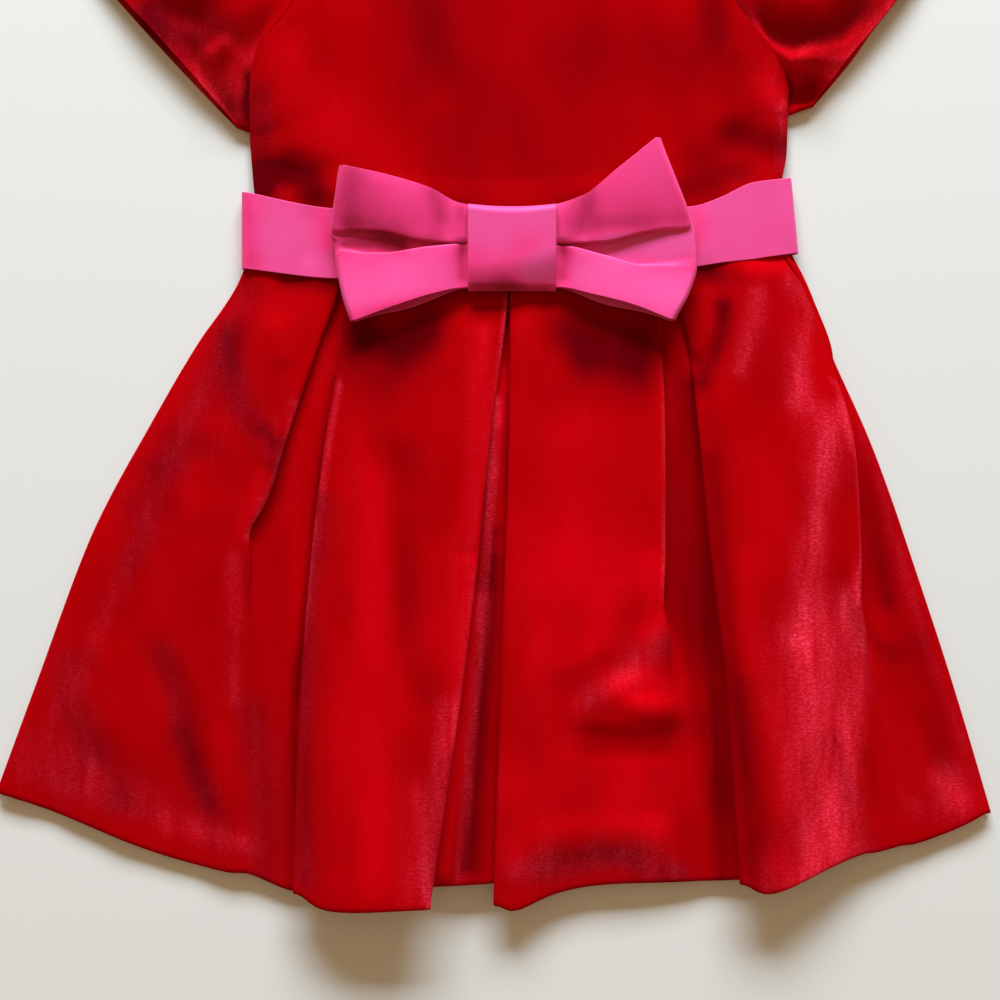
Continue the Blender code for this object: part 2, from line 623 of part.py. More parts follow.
# ---- making the pieces ----
def material(name, colour, roughness):
    made = bpy.data.materials.new(name)
    made.use_nodes = True
    shader = made.node_tree.nodes["Principled BSDF"]
    shader.inputs["Base Color"].default_value = (*colour, 1)
    shader.inputs["Roughness"].default_value = roughness
    shader.inputs["Metallic"].default_value = 0.0
    return made


def new_piece(name, mesh, finish):
    """Adds a bmesh in millimetres to the scene as a named object in metres."""
    bmesh.ops.scale(mesh, vec=(METRE,) * 3, verts=mesh.verts)
    data = bpy.data.meshes.new(name)
    mesh.to_mesh(data)
    mesh.free()
    data.materials.append(finish)
    data.shade_smooth()
    data.set_sharp_from_angle(angle=math.radians(50))
    piece = bpy.data.objects.new(name, data)
    bpy.context.collection.objects.link(piece)
    return piece


def cloth(name, grid, wall, finish, ring=False):
    """A wall of cloth round a grid of points. ring joins the last column of the grid to the first."""
    mesh = bmesh.new()
    verts = [[mesh.verts.new(point) for point in line] for line in grid]
    columns = len(grid[0])
    for i in range(len(grid) - 1):
        for j in range(columns if ring else columns - 1):
            k = (j + 1) % columns
            mesh.faces.new((verts[i][j], verts[i][k], verts[i + 1][k], verts[i + 1][j]))
    bmesh.ops.recalc_face_normals(mesh, faces=mesh.faces)
    piece = new_piece(name, mesh, finish)
    solidify = piece.modifiers.new("wall", "SOLIDIFY")
    solidify.thickness = wall * METRE
    solidify.offset = 0.0
    solidify.use_even_offset = True
    solidify.use_quality_normals = True
    return piece


def button(finish):
    """A plain domed button under the nape, which the back opening fastens on."""
    mesh = bmesh.new()
    rings = []
    for share, height in BUTTON_PROFILE:
        angles = [2 * math.pi * i / BUTTON_SIDES for i in range(BUTTON_SIDES)]
        radius = BUTTON_RADIUS * share
        ring = [(CENTRE_X + radius * math.cos(a), BUTTON_Y + radius * math.sin(a), height) for a in angles]
        rings.append([mesh.verts.new(point) for point in ring])
    for upper, lower in zip(rings, rings[1:]):
        for i in range(BUTTON_SIDES):
            j = (i + 1) % BUTTON_SIDES
            mesh.faces.new((lower[i], lower[j], upper[j], upper[i]))
    mesh.faces.new(rings[0])
    mesh.faces.new(rings[-1][::-1])
    return new_piece("button", mesh, finish)


def main():
    for old in list(bpy.data.objects):
        bpy.data.objects.remove(old)
    velvet = material("red_velvet", (0.55, 0.004, 0.012), 0.85)
    satin = material("pink_satin", (0.86, 0.06, 0.29), 0.45)
    shell = material("red_button", (0.45, 0.01, 0.02), 0.35)
    cloth("skirt_front", [skirt_front_line(t) for t in SKIRT_STATIONS], VELVET, velvet)
    cloth("skirt_back", [skirt_back_line(t) for t in BACK_STATIONS], VELVET, velvet)
    cloth("bodice_front", bodice_front_grid(), VELVET, velvet)
    cloth("bodice_back_left", bodice_back_grid(-1), VELVET, velvet)
    cloth("bodice_back_right", bodice_back_grid(1), VELVET, velvet)
    for sleeve in SLEEVES:
        cloth(sleeve.name, sleeve_grid(sleeve), VELVET, velvet, ring=True)
    cloth("sash", sash_grid(), SATIN, satin, ring=True)
    cloth("bow", bow_grid(), SATIN, satin, ring=True)
    cloth("bow_knot", knot_grid(), SATIN, satin, ring=True)
    button(shell)


main()
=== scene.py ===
"""Toddler party dress, laid flat on its back, in red velvet with a pink satin sash and bow.

Every piece of cloth is a grid of points halfway through the cloth, and a Solidify modifier gives it its wall.
The big folds are cubic B-splines through short tables of control points, and the small ones are soft troughs
and ridges laid along short paths. +X is to the right of someone who looks down at the front, +Y is towards
the neck and +Z is up, off the surface that the dress lies on. All sizes are in millimetres until new_piece()
turns them into metres; only the add-on's own settings are in metres throughout.
"""

import math
from collections import namedtuple

import bpy
import numpy as np
from bpy.props import FloatProperty, FloatVectorProperty, PointerProperty
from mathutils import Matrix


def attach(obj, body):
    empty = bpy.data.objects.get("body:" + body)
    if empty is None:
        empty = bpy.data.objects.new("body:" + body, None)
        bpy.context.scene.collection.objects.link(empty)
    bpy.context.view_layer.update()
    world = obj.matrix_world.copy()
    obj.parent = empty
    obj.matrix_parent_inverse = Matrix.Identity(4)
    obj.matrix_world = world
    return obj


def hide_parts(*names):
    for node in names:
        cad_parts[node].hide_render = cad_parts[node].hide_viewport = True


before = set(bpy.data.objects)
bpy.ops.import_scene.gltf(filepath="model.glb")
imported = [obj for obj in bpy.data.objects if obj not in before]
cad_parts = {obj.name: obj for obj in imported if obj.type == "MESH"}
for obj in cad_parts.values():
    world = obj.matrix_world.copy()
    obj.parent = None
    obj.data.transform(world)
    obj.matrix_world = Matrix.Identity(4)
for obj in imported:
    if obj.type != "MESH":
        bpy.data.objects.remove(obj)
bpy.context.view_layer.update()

bl_info = {
    "name": "Toddler party dress",
    "version": (1, 0, 0),
    "blender": (4, 5, 0),
    "location": "3D View > Sidebar > Dress",
    "description": "Builds a velvet dress with a satin sash and bow, laid flat, and the stage it lies on",
    "category": "Object",
}

METRE = 0.001

# ---- cloth ----
SEAM_Z = 2.1  # height at which front and back meet along a side or shoulder seam
SEAM_TOUCH = 0.02  # between the two walls there
SIDE_Z = 3.6  # height of the front just inside those seams
SEAM_ROUND = 3.0  # how far in from a seam the cloth has its full height
SEAM_STEPS = (0.0, 0.35, 0.9, 1.7)  # columns of points in from a seam
WAIST_GAP = 0.3  # between bodice and skirt, along the waist seam

# ---- waist and sash ----
WAIST_X = (-126, -80, 0, 60, 103, 128, 152)
WAIST_Y = (65, 60, 56, 59, 65, 70, 72.5)  # the seam dips towards the middle
SASH_LEFT = -125.2
SASH_RIGHT = 149.4
SASH_SLANT = 3.6  # how far its right end leans
SASH_SLANT_FROM = 100.0
SASH_FLAT_FROM = 3.0  # in from an end, where the turn round the waist begins
SASH_TURN = ((1.6, 6.9), (0.6, 5.8), (0.1, 4.6), (0.1, 3.2), (0.6, 1.9), (1.7, 0.8))  # (in from the end, z)
SASH_X = (-126, -80, 0, 60, 99, 112, 130, 150)
SASH_Y = (64.8, 57.6, 55, 57.5, 61, 64.2, 69.2, 72)
SASH_WIDTH = (38.2, 34.6, 33, 31, 30, 32.2, 37.6, 37.2)
SASH_FRONT_X = (-126, -110, -80, 95, 130, 149)
SASH_FRONT_Z = (7.0, 8.4, 9.2, 9.2, 7.9, 6.9)
SASH_LIFT = 1.3  # how far the back of the sash lifts the dress
SASH_REACH = 22.0  # and how far from the waist seam the lift is in full
SASH_FADE = 14.0
SASH_PAINTED_LIGHT_REST = 0.36  # painted light: how much paler than the rest of the satin
SASH_FRONT_STEPS = 120
SASH_BACK_STEPS = 40
SASH_LINES = 17
SASH_RIM = 0.008  # from an edge to the line beside it, as a share of the width

# ---- skirt ----
# The levels run down from the waist, and a row is a line from the waist to the hem: a side seam, the edge of
# a fold, a ridge, or a line at a share of the way between its neighbours, which then stands in for x. x, lift
# and tuck have a value for each level. tuck is how far the cloth runs back under an edge, and is below zero
# where the fold lies open. hem and inner_hem are where the edge and the cloth behind it end.
WAIST_LEVEL_Y = 60.0
LEVELS = (0, 20, 32, 50, 100, 128, 150, 220, 325)
PLEAT_GAP = (1.9, 1.9, 1.9, 2.1, 2.6, 2.7, 2.8, 3, 3)  # between the layers of a fold
UNDERLAY_Z = (3.4, 3.6, 3.9, 4.6, 6, 6, 6, 5, 3.8)  # height of the cloth behind an edge
FOLD_SOFT = 4.0  # how softly an edge bends
PANELS = (
    "outer left", "left pleat", "centre left", "centre pleat", "centre right", "right pleat", "outer right",
    "right side",
)
Row = namedtuple("Row", "panel kind x lift hem tuck inner_hem soft", defaults=(None, None, FOLD_SOFT))
FLAT_SIDE = (SIDE_Z,) * len(LEVELS)
SKIRT_ROWS = (
    Row(
        "outer left", "side",
        (-119, -126.3, -133.5, -146.3, -175.5, -191, -201.5, -227.5, -266), FLAT_SIDE, -215,
    ),
    Row("outer left", "between", 0.3, (6.4, 6.6, 7, 8, 10, 9.8, 8.4, 4.2, 2.4), -225),
    Row("outer left", "between", 0.68, (7.5, 7.6, 9.4, 12, 14, 13.2, 12, 6.5, 2.8), -244),
    Row(
        "outer left", "right_edge",
        (-74, -76, -79, -85.5, -102.5, -111.5, -123.5, -130, -127),
        (7.6, 7.8, 8.8, 10, 13, 11.6, 10, 6.5, 3.6), -254,
        (24, 24, 24, 24, 20, 8.8, -2, -24, -30), -263,
    ),
    Row("left pleat", "underlay", 0.5, (3.8, 4.6, 5.6, 7, 9.5, 9.3, 9, 7.5, 6), -262),
    Row(
        "centre left", "left_edge",
        (-72, -73, -73.5, -75, -83, -86.5, -89, -94.5, -99),
        (7.6, 7.8, 8.6, 10.3, 13, 14.4, 15, 15, 13), -262.5,
        (24, 24, 24, 24, 24, 24, 24, 23, 22), -260,
    ),
    Row("centre left", "between", 0.14, (7.8, 8, 9.6, 12, 14.5, 15.7, 16.5, 18, 18), -270),
    Row("centre left", "between", 0.45, (7.6, 8, 10, 12.5, 15, 15.6, 16, 17, 19), -270.5),
    Row(
        "centre left", "right_edge",
        (7, 7, 6.5, 4.5, -2, -5, -7, -15.5, -31),
        (7.6, 8.6, 12, 14, 16, 16.6, 17, 19, 20), -268.5,
        (24, 25, 25.5, 26, 27, 27.7, 28, 28, 28), -262,
    ),
    Row(
        "centre pleat", "ridge",
        (7.5, 7.5, 7, 5.5, 2, -0.8, -3, -8.5, -15.5),
        (4, 6, 9, 11.5, 14, 14.7, 15, 12.5, 9), -259.5,
    ),
    Row(
        "centre right", "left_edge",
        (8, 8, 8, 8, 7.5, 6.8, 6, 3.5, 0),
        (7.6, 8.6, 12, 14, 16, 16.7, 17, 15, 10.5), -269,
        (24, 25, 25.5, 26, 27, 27.7, 28, 28, 28), -257,
    ),
    Row("centre right", "between", 0.08, (7.6, 8.8, 12, 14.5, 17, 17.4, 17.5, 16.5, 11), -273.5),
    Row("centre right", "between", 0.35, (7.6, 8, 10, 13, 18, 18, 18, 14, 7), -263),
    Row("centre right", "between", 0.7, (7.6, 8, 9.8, 12.5, 17, 17, 17, 12, 6), -259),
    Row(
        "centre right", "right_edge",
        (86, 84, 83.5, 83, 84, 84, 84, 81, 79.5),
        (7.6, 7.8, 8.6, 10.5, 15, 15.8, 16, 12, 6), -258.5,
        (24, 24, 23.5, 22, 19, 16.7, 14, -14, -26), -258,
    ),
    Row("right pleat", "underlay", 0.5, (3.8, 4.6, 5.6, 7, 9.5, 9.5, 9.5, 8, 5), -257),
    Row(
        "outer right", "left_edge",
        (88, 88.5, 90.5, 95.5, 101.5, 104, 106, 114, 121.5),
        (7.4, 7.6, 8.1, 9.2, 13, 14.2, 15, 17, 15), -257.5,
        (24, 24, 24.6, 26, 27, 27.7, 28, 28, 26), -256,
    ),
    Row("outer right", "between", 0.1, (7.4, 8, 9.4, 12, 17, 18.3, 19, 20.5, 16.5), -263),
    Row("outer right", "between", 0.33, (7.4, 8.6, 11.6, 16, 20, 20.6, 21, 21.5, 15.5), -260),
    Row("outer right", "between", 0.66, (6.4, 9.8, 12.5, 15.5, 20, 20, 20, 18, 12.5), -250),
    Row(
        "outer right", "right_edge",
        (136, 149.5, 155, 162.4, 177, 179.5, 180.5, 181.5, 188),
        (5.2, 6.8, 7.6, 9, 14, 14, 14, 11, 7), -243.5,
        (-5, -2.6, -2.2, -1.8, 11, 9.9, 8, -10, -22), -240, 2.2,
    ),
    Row("right side", "between", 0.6, (5.2, 6.4, 7, 7, 6.2, 5.4, 5, 5.2, 4), -232.5),
    Row(
        "right side", "side",
        (142.5, 153, 158, 164.8, 187, 197.5, 205, 228, 259),
        (4.4, 5.6, 5.8, 5.2, 4.2, 3.8, 3.6, 3.6, 3.6), -224.5,
    ),
)
OPEN_FOLD = (-1.5, -0.5, 0.5, 1.5)  # control points of an edge, or of the fold behind it, where they lie open
SHUT_EDGE = (-1, 0, 0, -1)  # and of an edge where it is shut; both are times the softness
OPEN_FOLD_DROPS = (0.12, 0.35)  # shares of the way down to the cloth behind
FOLLOWS_PANEL = (1, 1, 1, 1, 0.5, 0.5, 0, 0)  # how far each control point of a fold moves with its panel
FOLLOWS_UNDERLAY = (0, 0, 0, 0, 0, 0, 0.5, 1)  # and with the underlay behind it
BACK_HEM_DROP = 34.0  # how far the back's hem dips in the middle
BACK_COLUMNS = 96
SKIRT_LENGTH = 325.0
SKIRT_STEP = 3.1  # between points along the skirt and across it
SKIRT_MOST = 14  # points at most from one control point to the next
SKIRT_CALM = 0.08  # share of the way down over which its waves grow
OVER_SASH_FADE = 1.5  # control points in from a side seam over which the sash begins to lift the front
HEM_LINES = (0.86, 0.72, 0.58, 0.44, 0.32, 0.21, 0.12, 0.06, 0.02, 0)  # shares of the turned-under strip
HEM_RISE = 0.45  # half of the way between the hem's two layers
HEM_TURN_STEPS = 5

# ---- bodice ----
CENTRE_X = 10.0
NECK_HALF = 62.0
NECK_TOP_Y = 270.0
NECK_CURVE = 0.7
FRONT_NECK_DROP = 60.0
BACK_NECK_DROP = 20.0
SHOULDER_TIP_Y = 256.0
UNDERARM_Y = {-1: 114.0, 1: 122.5}
EDGE_Y = {
    -1: (62, 82, 98, 114, 130, 143, 155, 171, 180, 200, 228, 256),
    1: (68, 82, 105, 122.5, 134, 141, 150, 160, 172, 185, 222, 256),
}
EDGE_X = {
    -1: (-118, -119, -120.6, -121.6, -121.6, -120.5, -117, -104, -98, -94, -96, -102),
    1: (141.5, 142, 145.8, 146.3, 146.4, 145, 141, 134, 124, 116, 115, 122),
}
BODICE_CROWN = 4.0
CROWN_AT_WAIST = 0.35
CROWN_AT_TOP = 0.25
CROWN_AT_ARMHOLE = 0.85
CROWN_SUDDEN = 0.7  # the less, the sooner the front is at its full height across
CALM_SEAM = 12.0  # in from a side seam, where the waves are in full
CALM_SPREAD = 400.0  # the more, the sooner they are away from the sides
ARMHOLE_FADE = 20.0
ARMHOLE_SUDDEN = 0.35  # the less, the sooner front and back part above the underarm
ROWS_TO_UNDERARM = 6
ROWS_OF_ARMHOLE = 12
LAST_ROW = ROWS_TO_UNDERARM + ROWS_OF_ARMHOLE
SHOULDER_STEPS = 12
NECK_STEPS = 40
BODICE_LINES = 84
BODICE_RIM_ROWS = (0.04, 0.12, LAST_ROW - 0.06)  # beside the waist and the neckline
SLIT_BOTTOM_Y = 168.0
SLIT_TOP_HALF = 1.4
SLIT_SHUT = 0.15
BUTTON_Y = 243.0
BUTTON_RADIUS = 5.5
BUTTON_LIFT = 2.7  # how far it lifts the back of the bodice
BUTTON_LIFT_FROM = BUTTON_RADIUS + 1.5
BUTTON_LIFT_TO = 22.0  # from its middle
BUTTON_TOP_Z = 2.45
BUTTON_SIDES = 48
BUTTON_PROFILE = (  # (share of the radius, height), from its face to its underside
    (0.25, 2.42), (0.5, 2.3), (0.75, 2.05), (0.92, 1.7), (1.0, 1.3), (1.0, 0.6), (0.93, 0.15), (0.85, 0.0),
)

# ---- sleeves ----
ARMHOLE_STEPS = 73  # places along it, from the underarm to the tip of the shoulder
ARMHOLE_GAP = -0.1  # below zero, so that the sleeve's edge tucks under the bodice's
SLEEVE_MID_Z = 2.1
Sleeve = namedtuple("Sleeve", "node side under_hem top_hem bulge puff hem_lift gapes_to")
SLEEVES = (
    Sleeve("sleeve_left", -1, (-127.8, 116.4), (-202, 197), 13, 12, 3.5, 1.2),
    Sleeve("sleeve_right", 1, (158.8, 127), (223.5, 208), 14, 14, 2.4, 0.4),
)
SLEEVE_BACK_LONGER = 1.4  # beyond the fold at the hem, where the sleeve gapes
SLEEVE_FRONT_LONGER = -1.2
SLEEVE_LEVEL_TO = 0.4  # share of the way to the hem over which a sleeve leaves the bodice's height
SLEEVE_BULGE_X = 0.6
SLEEVE_BULGE_Y = 0.8
SLEEVE_BULGE_LEAN = 1.5  # above 1 it leans towards the top fold, as the puff's does
PUFF_LEAN = 1.3
PUFF_NEAR = 1.15  # above 1 it lies nearer the armhole
PUFF_ROUND = 1.4
GAPE_FADE = 0.15  # before the place where the hem stops gaping, as a share of its length
GAPE_REACH = 0.1  # and beyond it
CALM_ARMHOLE = 0.15  # share of the way to the hem over which the waves grow
CREASED_FROM = 0.1  # and the creases
CALM_FOLD = 8.0  # in from the underarm and the top fold, where both are in full
SLEEVE_LEAST_ROOM = 1.6  # between its two layers
SLEEVE_FOLD_STEPS = (0, 0.12, 0.3, 0.6, 1.0)  # columns in from a fold, as shares of SEAM_ROUND
SLEEVE_COLUMNS = 46
SLEEVE_LINES = 34
SLEEVE_RIM = 0.99

# ---- bow: rows from the ribbon's top edge to its bottom edge, stops from its left end to its right end ----
KNOT_X = 8.9
KNOT_Y = 54.6
KNOT_WIDTH = 43.0
KNOT_HEIGHT = 41.8
KNOT_BACK_Z = 9.9
KNOT_FRONT_Z = 20.4
KNOT_FLAT_FROM = 2.5
KNOT_BEND = ((-13, 46), (8, 48.6), (31, 54))  # where the band starts to slope down
KNOT_BEND_DROP = 5.2
KNOT_BEND_RUN = 26.0
KNOT_TOP_DIP = 2.0  # how far the middle of its top edge is pulled down
KNOT_LINES = 73
KNOT_RIM = 0.006
KNOT_FRONT_STEPS = 40
KNOT_BACK_STEPS = 8
KNOT_TURN = ((1.3, 0.95), (0.5, 0.84), (0.1, 0.7), (0.0, 0.5), (0.1, 0.32), (0.5, 0.16), (1.3, 0.05))
BOW_STOPS = (-1, -0.75, -0.5, -0.3, 0, 0.3, 0.5, 0.75, 1)
BOW_BACK_Z = (12.0, 12.4, 13.2)
BOW_BACK_DIP = 2.2  # how much lower the back layer lies under the knot
BOW_BACK_DIP_TO = 0.4
BOW_TURN = 2.6  # how far the ends of the loops reach beyond their last section
BOW_LENS = 3.0  # how far the layer behind shows below the front one
BOW_LENS_FROM = 0.25
BOW_SECTIONS = 97
BOW_BACK_SKIP = 3  # the back layer has a third of the front's sections
BOW_TURN_STEPS = 7
BOW_STEP = 1.6  # between points across the ribbon
BOW_MOST = 8  # points at most from one control point to the next
BOW_RIM = 0.05
BOW_PLEAT_GAP = 1.4
BOW_SOFT = 1.0
BowRow = namedtuple("BowRow", "name kind y z left_end right_end tuck", defaults=(None,))
BOW_ROWS = (
    BowRow(
        "top edge", "ridge", (94.5, 89.8, 83.7, 75.8, 72.5, 75.4, 80, 93.5, 107.5),
        (17.5, 18.5, 18.3, 17, 16.5, 16.5, 18, 19.5, 20), -75.6, 81.6,
    ),
    BowRow(
        "under the top edge", "ridge", (90, 85.8, 80.3, 73.6, 70, 73, 77.5, 89, 101.5),
        (18.4, 19, 18.6, 17.6, 17.2, 17.4, 18.5, 19.8, 20.2), -76.6, 83.6,
    ),
    BowRow(
        "upper lobe", "ridge", (78.5, 76, 70.5, 66.5, 65.5, 66.5, 69, 78, 86),
        (18.6, 18.9, 18.6, 17.6, 16.8, 17.6, 18.6, 19.6, 19.6), -77.6, 90,
    ),
    BowRow(
        "upper fold", "right_edge", (63.6, 62.8, 58, 56.9, 56.8, 56.8, 57.2, 62, 65.5),
        (16.6, 17, 17.5, 17.2, 16.4, 17.2, 17.8, 17.6, 17), -80.4, 98, (-3, 3, 7, 8, 8, 8, 6, 2, -3),
    ),
    BowRow(
        "valley", "ridge", (58.4, 57.6, 56.4, 56.5, 56.5, 55.9, 54, 54, 54.5),
        (15, 14, 13.8, 13.6, 13.2, 13.6, 14.3, 14.9, 15.6), -78, 98.6,
    ),
    BowRow(
        "lower fold", "left_edge", (52, 51.8, 54.6, 56.1, 56.2, 55.1, 50.9, 45.3, 44.1),
        (16.2, 16.8, 17.3, 17, 16, 17, 17.2, 16.8, 16.4), -77.8, 99.4, (-3, 3, 7, 8, 8, 8, 5, -1, -5),
    ),
    BowRow(
        "lower lobe", "ridge", (36, 38.8, 42, 44, 44.5, 43.5, 39, 33.5, 31),
        (18.2, 18.3, 18.2, 16.4, 14, 16.4, 18.3, 18.8, 18.7), -76.2, 95.6,
    ),
    BowRow(
        "over the bottom edge", "ridge", (22.5, 28.6, 34.2, 37.4, 38, 37.4, 33.6, 28.4, 22.6),
        (19.5, 19.5, 18.6, 15.8, 12.6, 15.8, 18.8, 19.7, 20), -71.6, 90.4,
    ),
    BowRow(
        "bottom edge", "ridge", (18.6, 25.6, 31.8, 35, 35.5, 35.2, 31.6, 26.6, 19),
        (19.5, 19.5, 18.7, 15.6, 12.2, 15.6, 18.8, 19.8, 20.2), -70.2, 88.6,
    ),
)
VALLEY = BOW_ROWS[4]

# ---- waves without a pattern: their height, the least and the greatest wavelengths across and along ----
Waves = namedtuple("Waves", "height across along seed count", defaults=(9,))
SKIRT_WAVES = Waves(0.3, (24, 70), (110, 300), 5)
BODICE_WAVES = Waves(0.25, (40, 120), (60, 160), 3)
PUCKERS = Waves(0.5, (9, 26), (90, 300), 4, 7)
PUCKERS_FROM = 14.0  # from the waist seam to where the puckers come out from under the sash
PUCKERS_REACH = 26.0
SLEEVE_WAVES = Waves(0.25, (24, 60), (40, 90), 6)
SASH_WAVES = Waves(0.12, (20, 60), (60, 200), 8)
KNOT_WAVES = Waves(0.08, (3, 9), (200, 900), 12, 6)

# ---- stage, in metres but for the surface ----
SURFACE_HALF = 2000.0
SURFACE_Z = -0.3
SURFACE_ROUGHNESS = 0.6
WINDOW_AWAY = 4.0
WINDOW_UP = 1.55
WINDOW_WIDTH = 3.4
WINDOW_HEIGHT = 1.1
WINDOW_COLOUR = (0.8, 0.93, 1.0)
ROOM_COLOUR = (1.0, 0.67, 0.36)
SENSOR_WIDTH = 36.0  # in millimetres
OVERHEAD_X = 0.003
OVERHEAD_Y = -0.06925

# ---- finishes ----
PILE_BRUSH_ANGLE = 12.0
PILE_STRAND_ANGLE = -8.0
PATCHES = 0.22  # how far slow patches turn the pile
GRAIN = 0.08  # and how far its grain does
BRUSH_MARKS = (3.0, 0.9, 0.15)  # of the blooming tips, a painted sheen: how uneven, their middle, and their least
BRUSH_LEAN = 0.16
SPECKS = (7.0, 0.2)  # how sharp, and how many
SPECKLED_TIPS = (1.15, 0.55)  # how much the tips owe to the specks, and how much is even
LIT_TIPS = (1.4, 0.3)  # how much the painted sheen of the tips owes to the lean of the pile, with its painted light
TWILL_ANGLE = 45.0
TWILL_RIBS = 0.17
SATIN_CLOUDS = 0.35
SATIN_THREADS = 0.3

# ---- creases: soft troughs and ridges along paths, in millimetres; depth is below zero in a trough ----
# lean moves the low or high line of a crease to the right of its path, as a share of its width, so that the
# side on the right of the path is steeper
CREASE_FADE = 0.3  # share of a crease's length over which each end fades
Crease = namedtuple("Crease", "path width depth lean", defaults=(0.0,))
SKIRT_CREASES = {
    "outer left": (
        Crease(((-136, 24), (-128, 5), (-118, -20), (-108, -47)), 16, -2.4, 0.3),
        Crease(((-118, -33), (-112, -42), (-105, -50)), 6, -1.8, 0.4),
        Crease(((-182, -68), (-166, -75), (-150, -77)), 12, -0.9),
        Crease(((-172, -38), (-155, -44), (-135, -46)), 12, -0.9),
        Crease(((-207, -138), (-203, -172), (-198, -206)), 14, -1.8),
        Crease(((-192, -126), (-182, -170), (-169, -216)), 14, 1.2),
        Crease(((-172, -132), (-156, -172), (-147, -200), (-139, -240)), 14, -2.0),
        Crease(((-128, -100), (-127, -167), (-130, -225)), 9, 1.4),
        Crease(((-107, 24), (-103, -8)), 9, 1.0),
    ),
    "centre left": (
        Crease(((-50, -33), (-45, -60), (-44, -100), (-40, -150)), 15, -1.8, 0.2),
        Crease(((-72, -45), (-68, -138), (-70, -255)), 14, 1.2),
        Crease(((-22, -10), (-24, -125)), 10, 0.8),
        Crease(((-19, -97), (-7, -95)), 5, -0.9),
    ),
    "centre right": (
        Crease(((78, -112), (66, -150), (30, -172)), 13, -2.0, -0.2),
        Crease(((58, -171), (80, -173), (104, -173)), 9, 1.4),
        Crease(((30, -184), (70, -189), (112, -184)), 12, -1.6, -0.3),
        Crease(((13, -238), (60, -235), (101, -238)), 12, 0.9),
    ),
    "outer right": (
        Crease(((88, 24), (94, 4), (102, -10)), 9, -2.2, -0.3),
        Crease(((102, -9), (109, 4), (112.5, 14), (113, 30)), 6, -2.2),
        Crease(((164, 27), (161, -35), (158, -99), (150, -145)), 10, 0.9),
        Crease(((174, -48), (175, -99), (168, -137)), 7, -1.4),
        Crease(((160, -180), (168, -217), (176, -250)), 7, -1.1),
        Crease(((151, -190), (158, -250)), 6, -0.7),
        Crease(((182, -190), (190, -235)), 6, -0.9),
    ),
    "right side": (
        Crease(((182, -50), (190, -118), (198, -150)), 8, -1.1),
        Crease(((209, -170), (221, -214)), 8, -0.9),
    ),
}
BODICE_CREASES = (
    Crease(((-113, 82), (-97, 95), (-76, 88)), 13, -1.5),
    Crease(((116, 84), (133, 99), (146, 95)), 12, -0.9),
    Crease(((102, 160), (120, 156), (138, 147)), 12, 0.7),
    Crease(((105, 104), (124, 112), (143, 116)), 12, -1.2),
)
SLEEVE_CREASES = {
    -1: (
        Crease(((-176, 181), (-152, 170), (-134, 164)), 12, -2.8, 0.3),
        Crease(((-126, 156), (-134, 153), (-143, 146)), 7, 1.6),
        Crease(((-121.8, 144), (-120.4, 118)), 3.0, -2.0),
    ),
    1: (
        Crease(((120, 173), (131, 164), (151, 158), (171, 163), (187, 178)), 12, -4.2, 0.3),
        Crease(((127, 156), (145.8, 147.5), (165.5, 147), (178, 153)), 7, 3.0, 0.4),
        Crease(((145, 131), (152, 130), (163, 132)), 8, -3.2, -0.5),
    ),
}
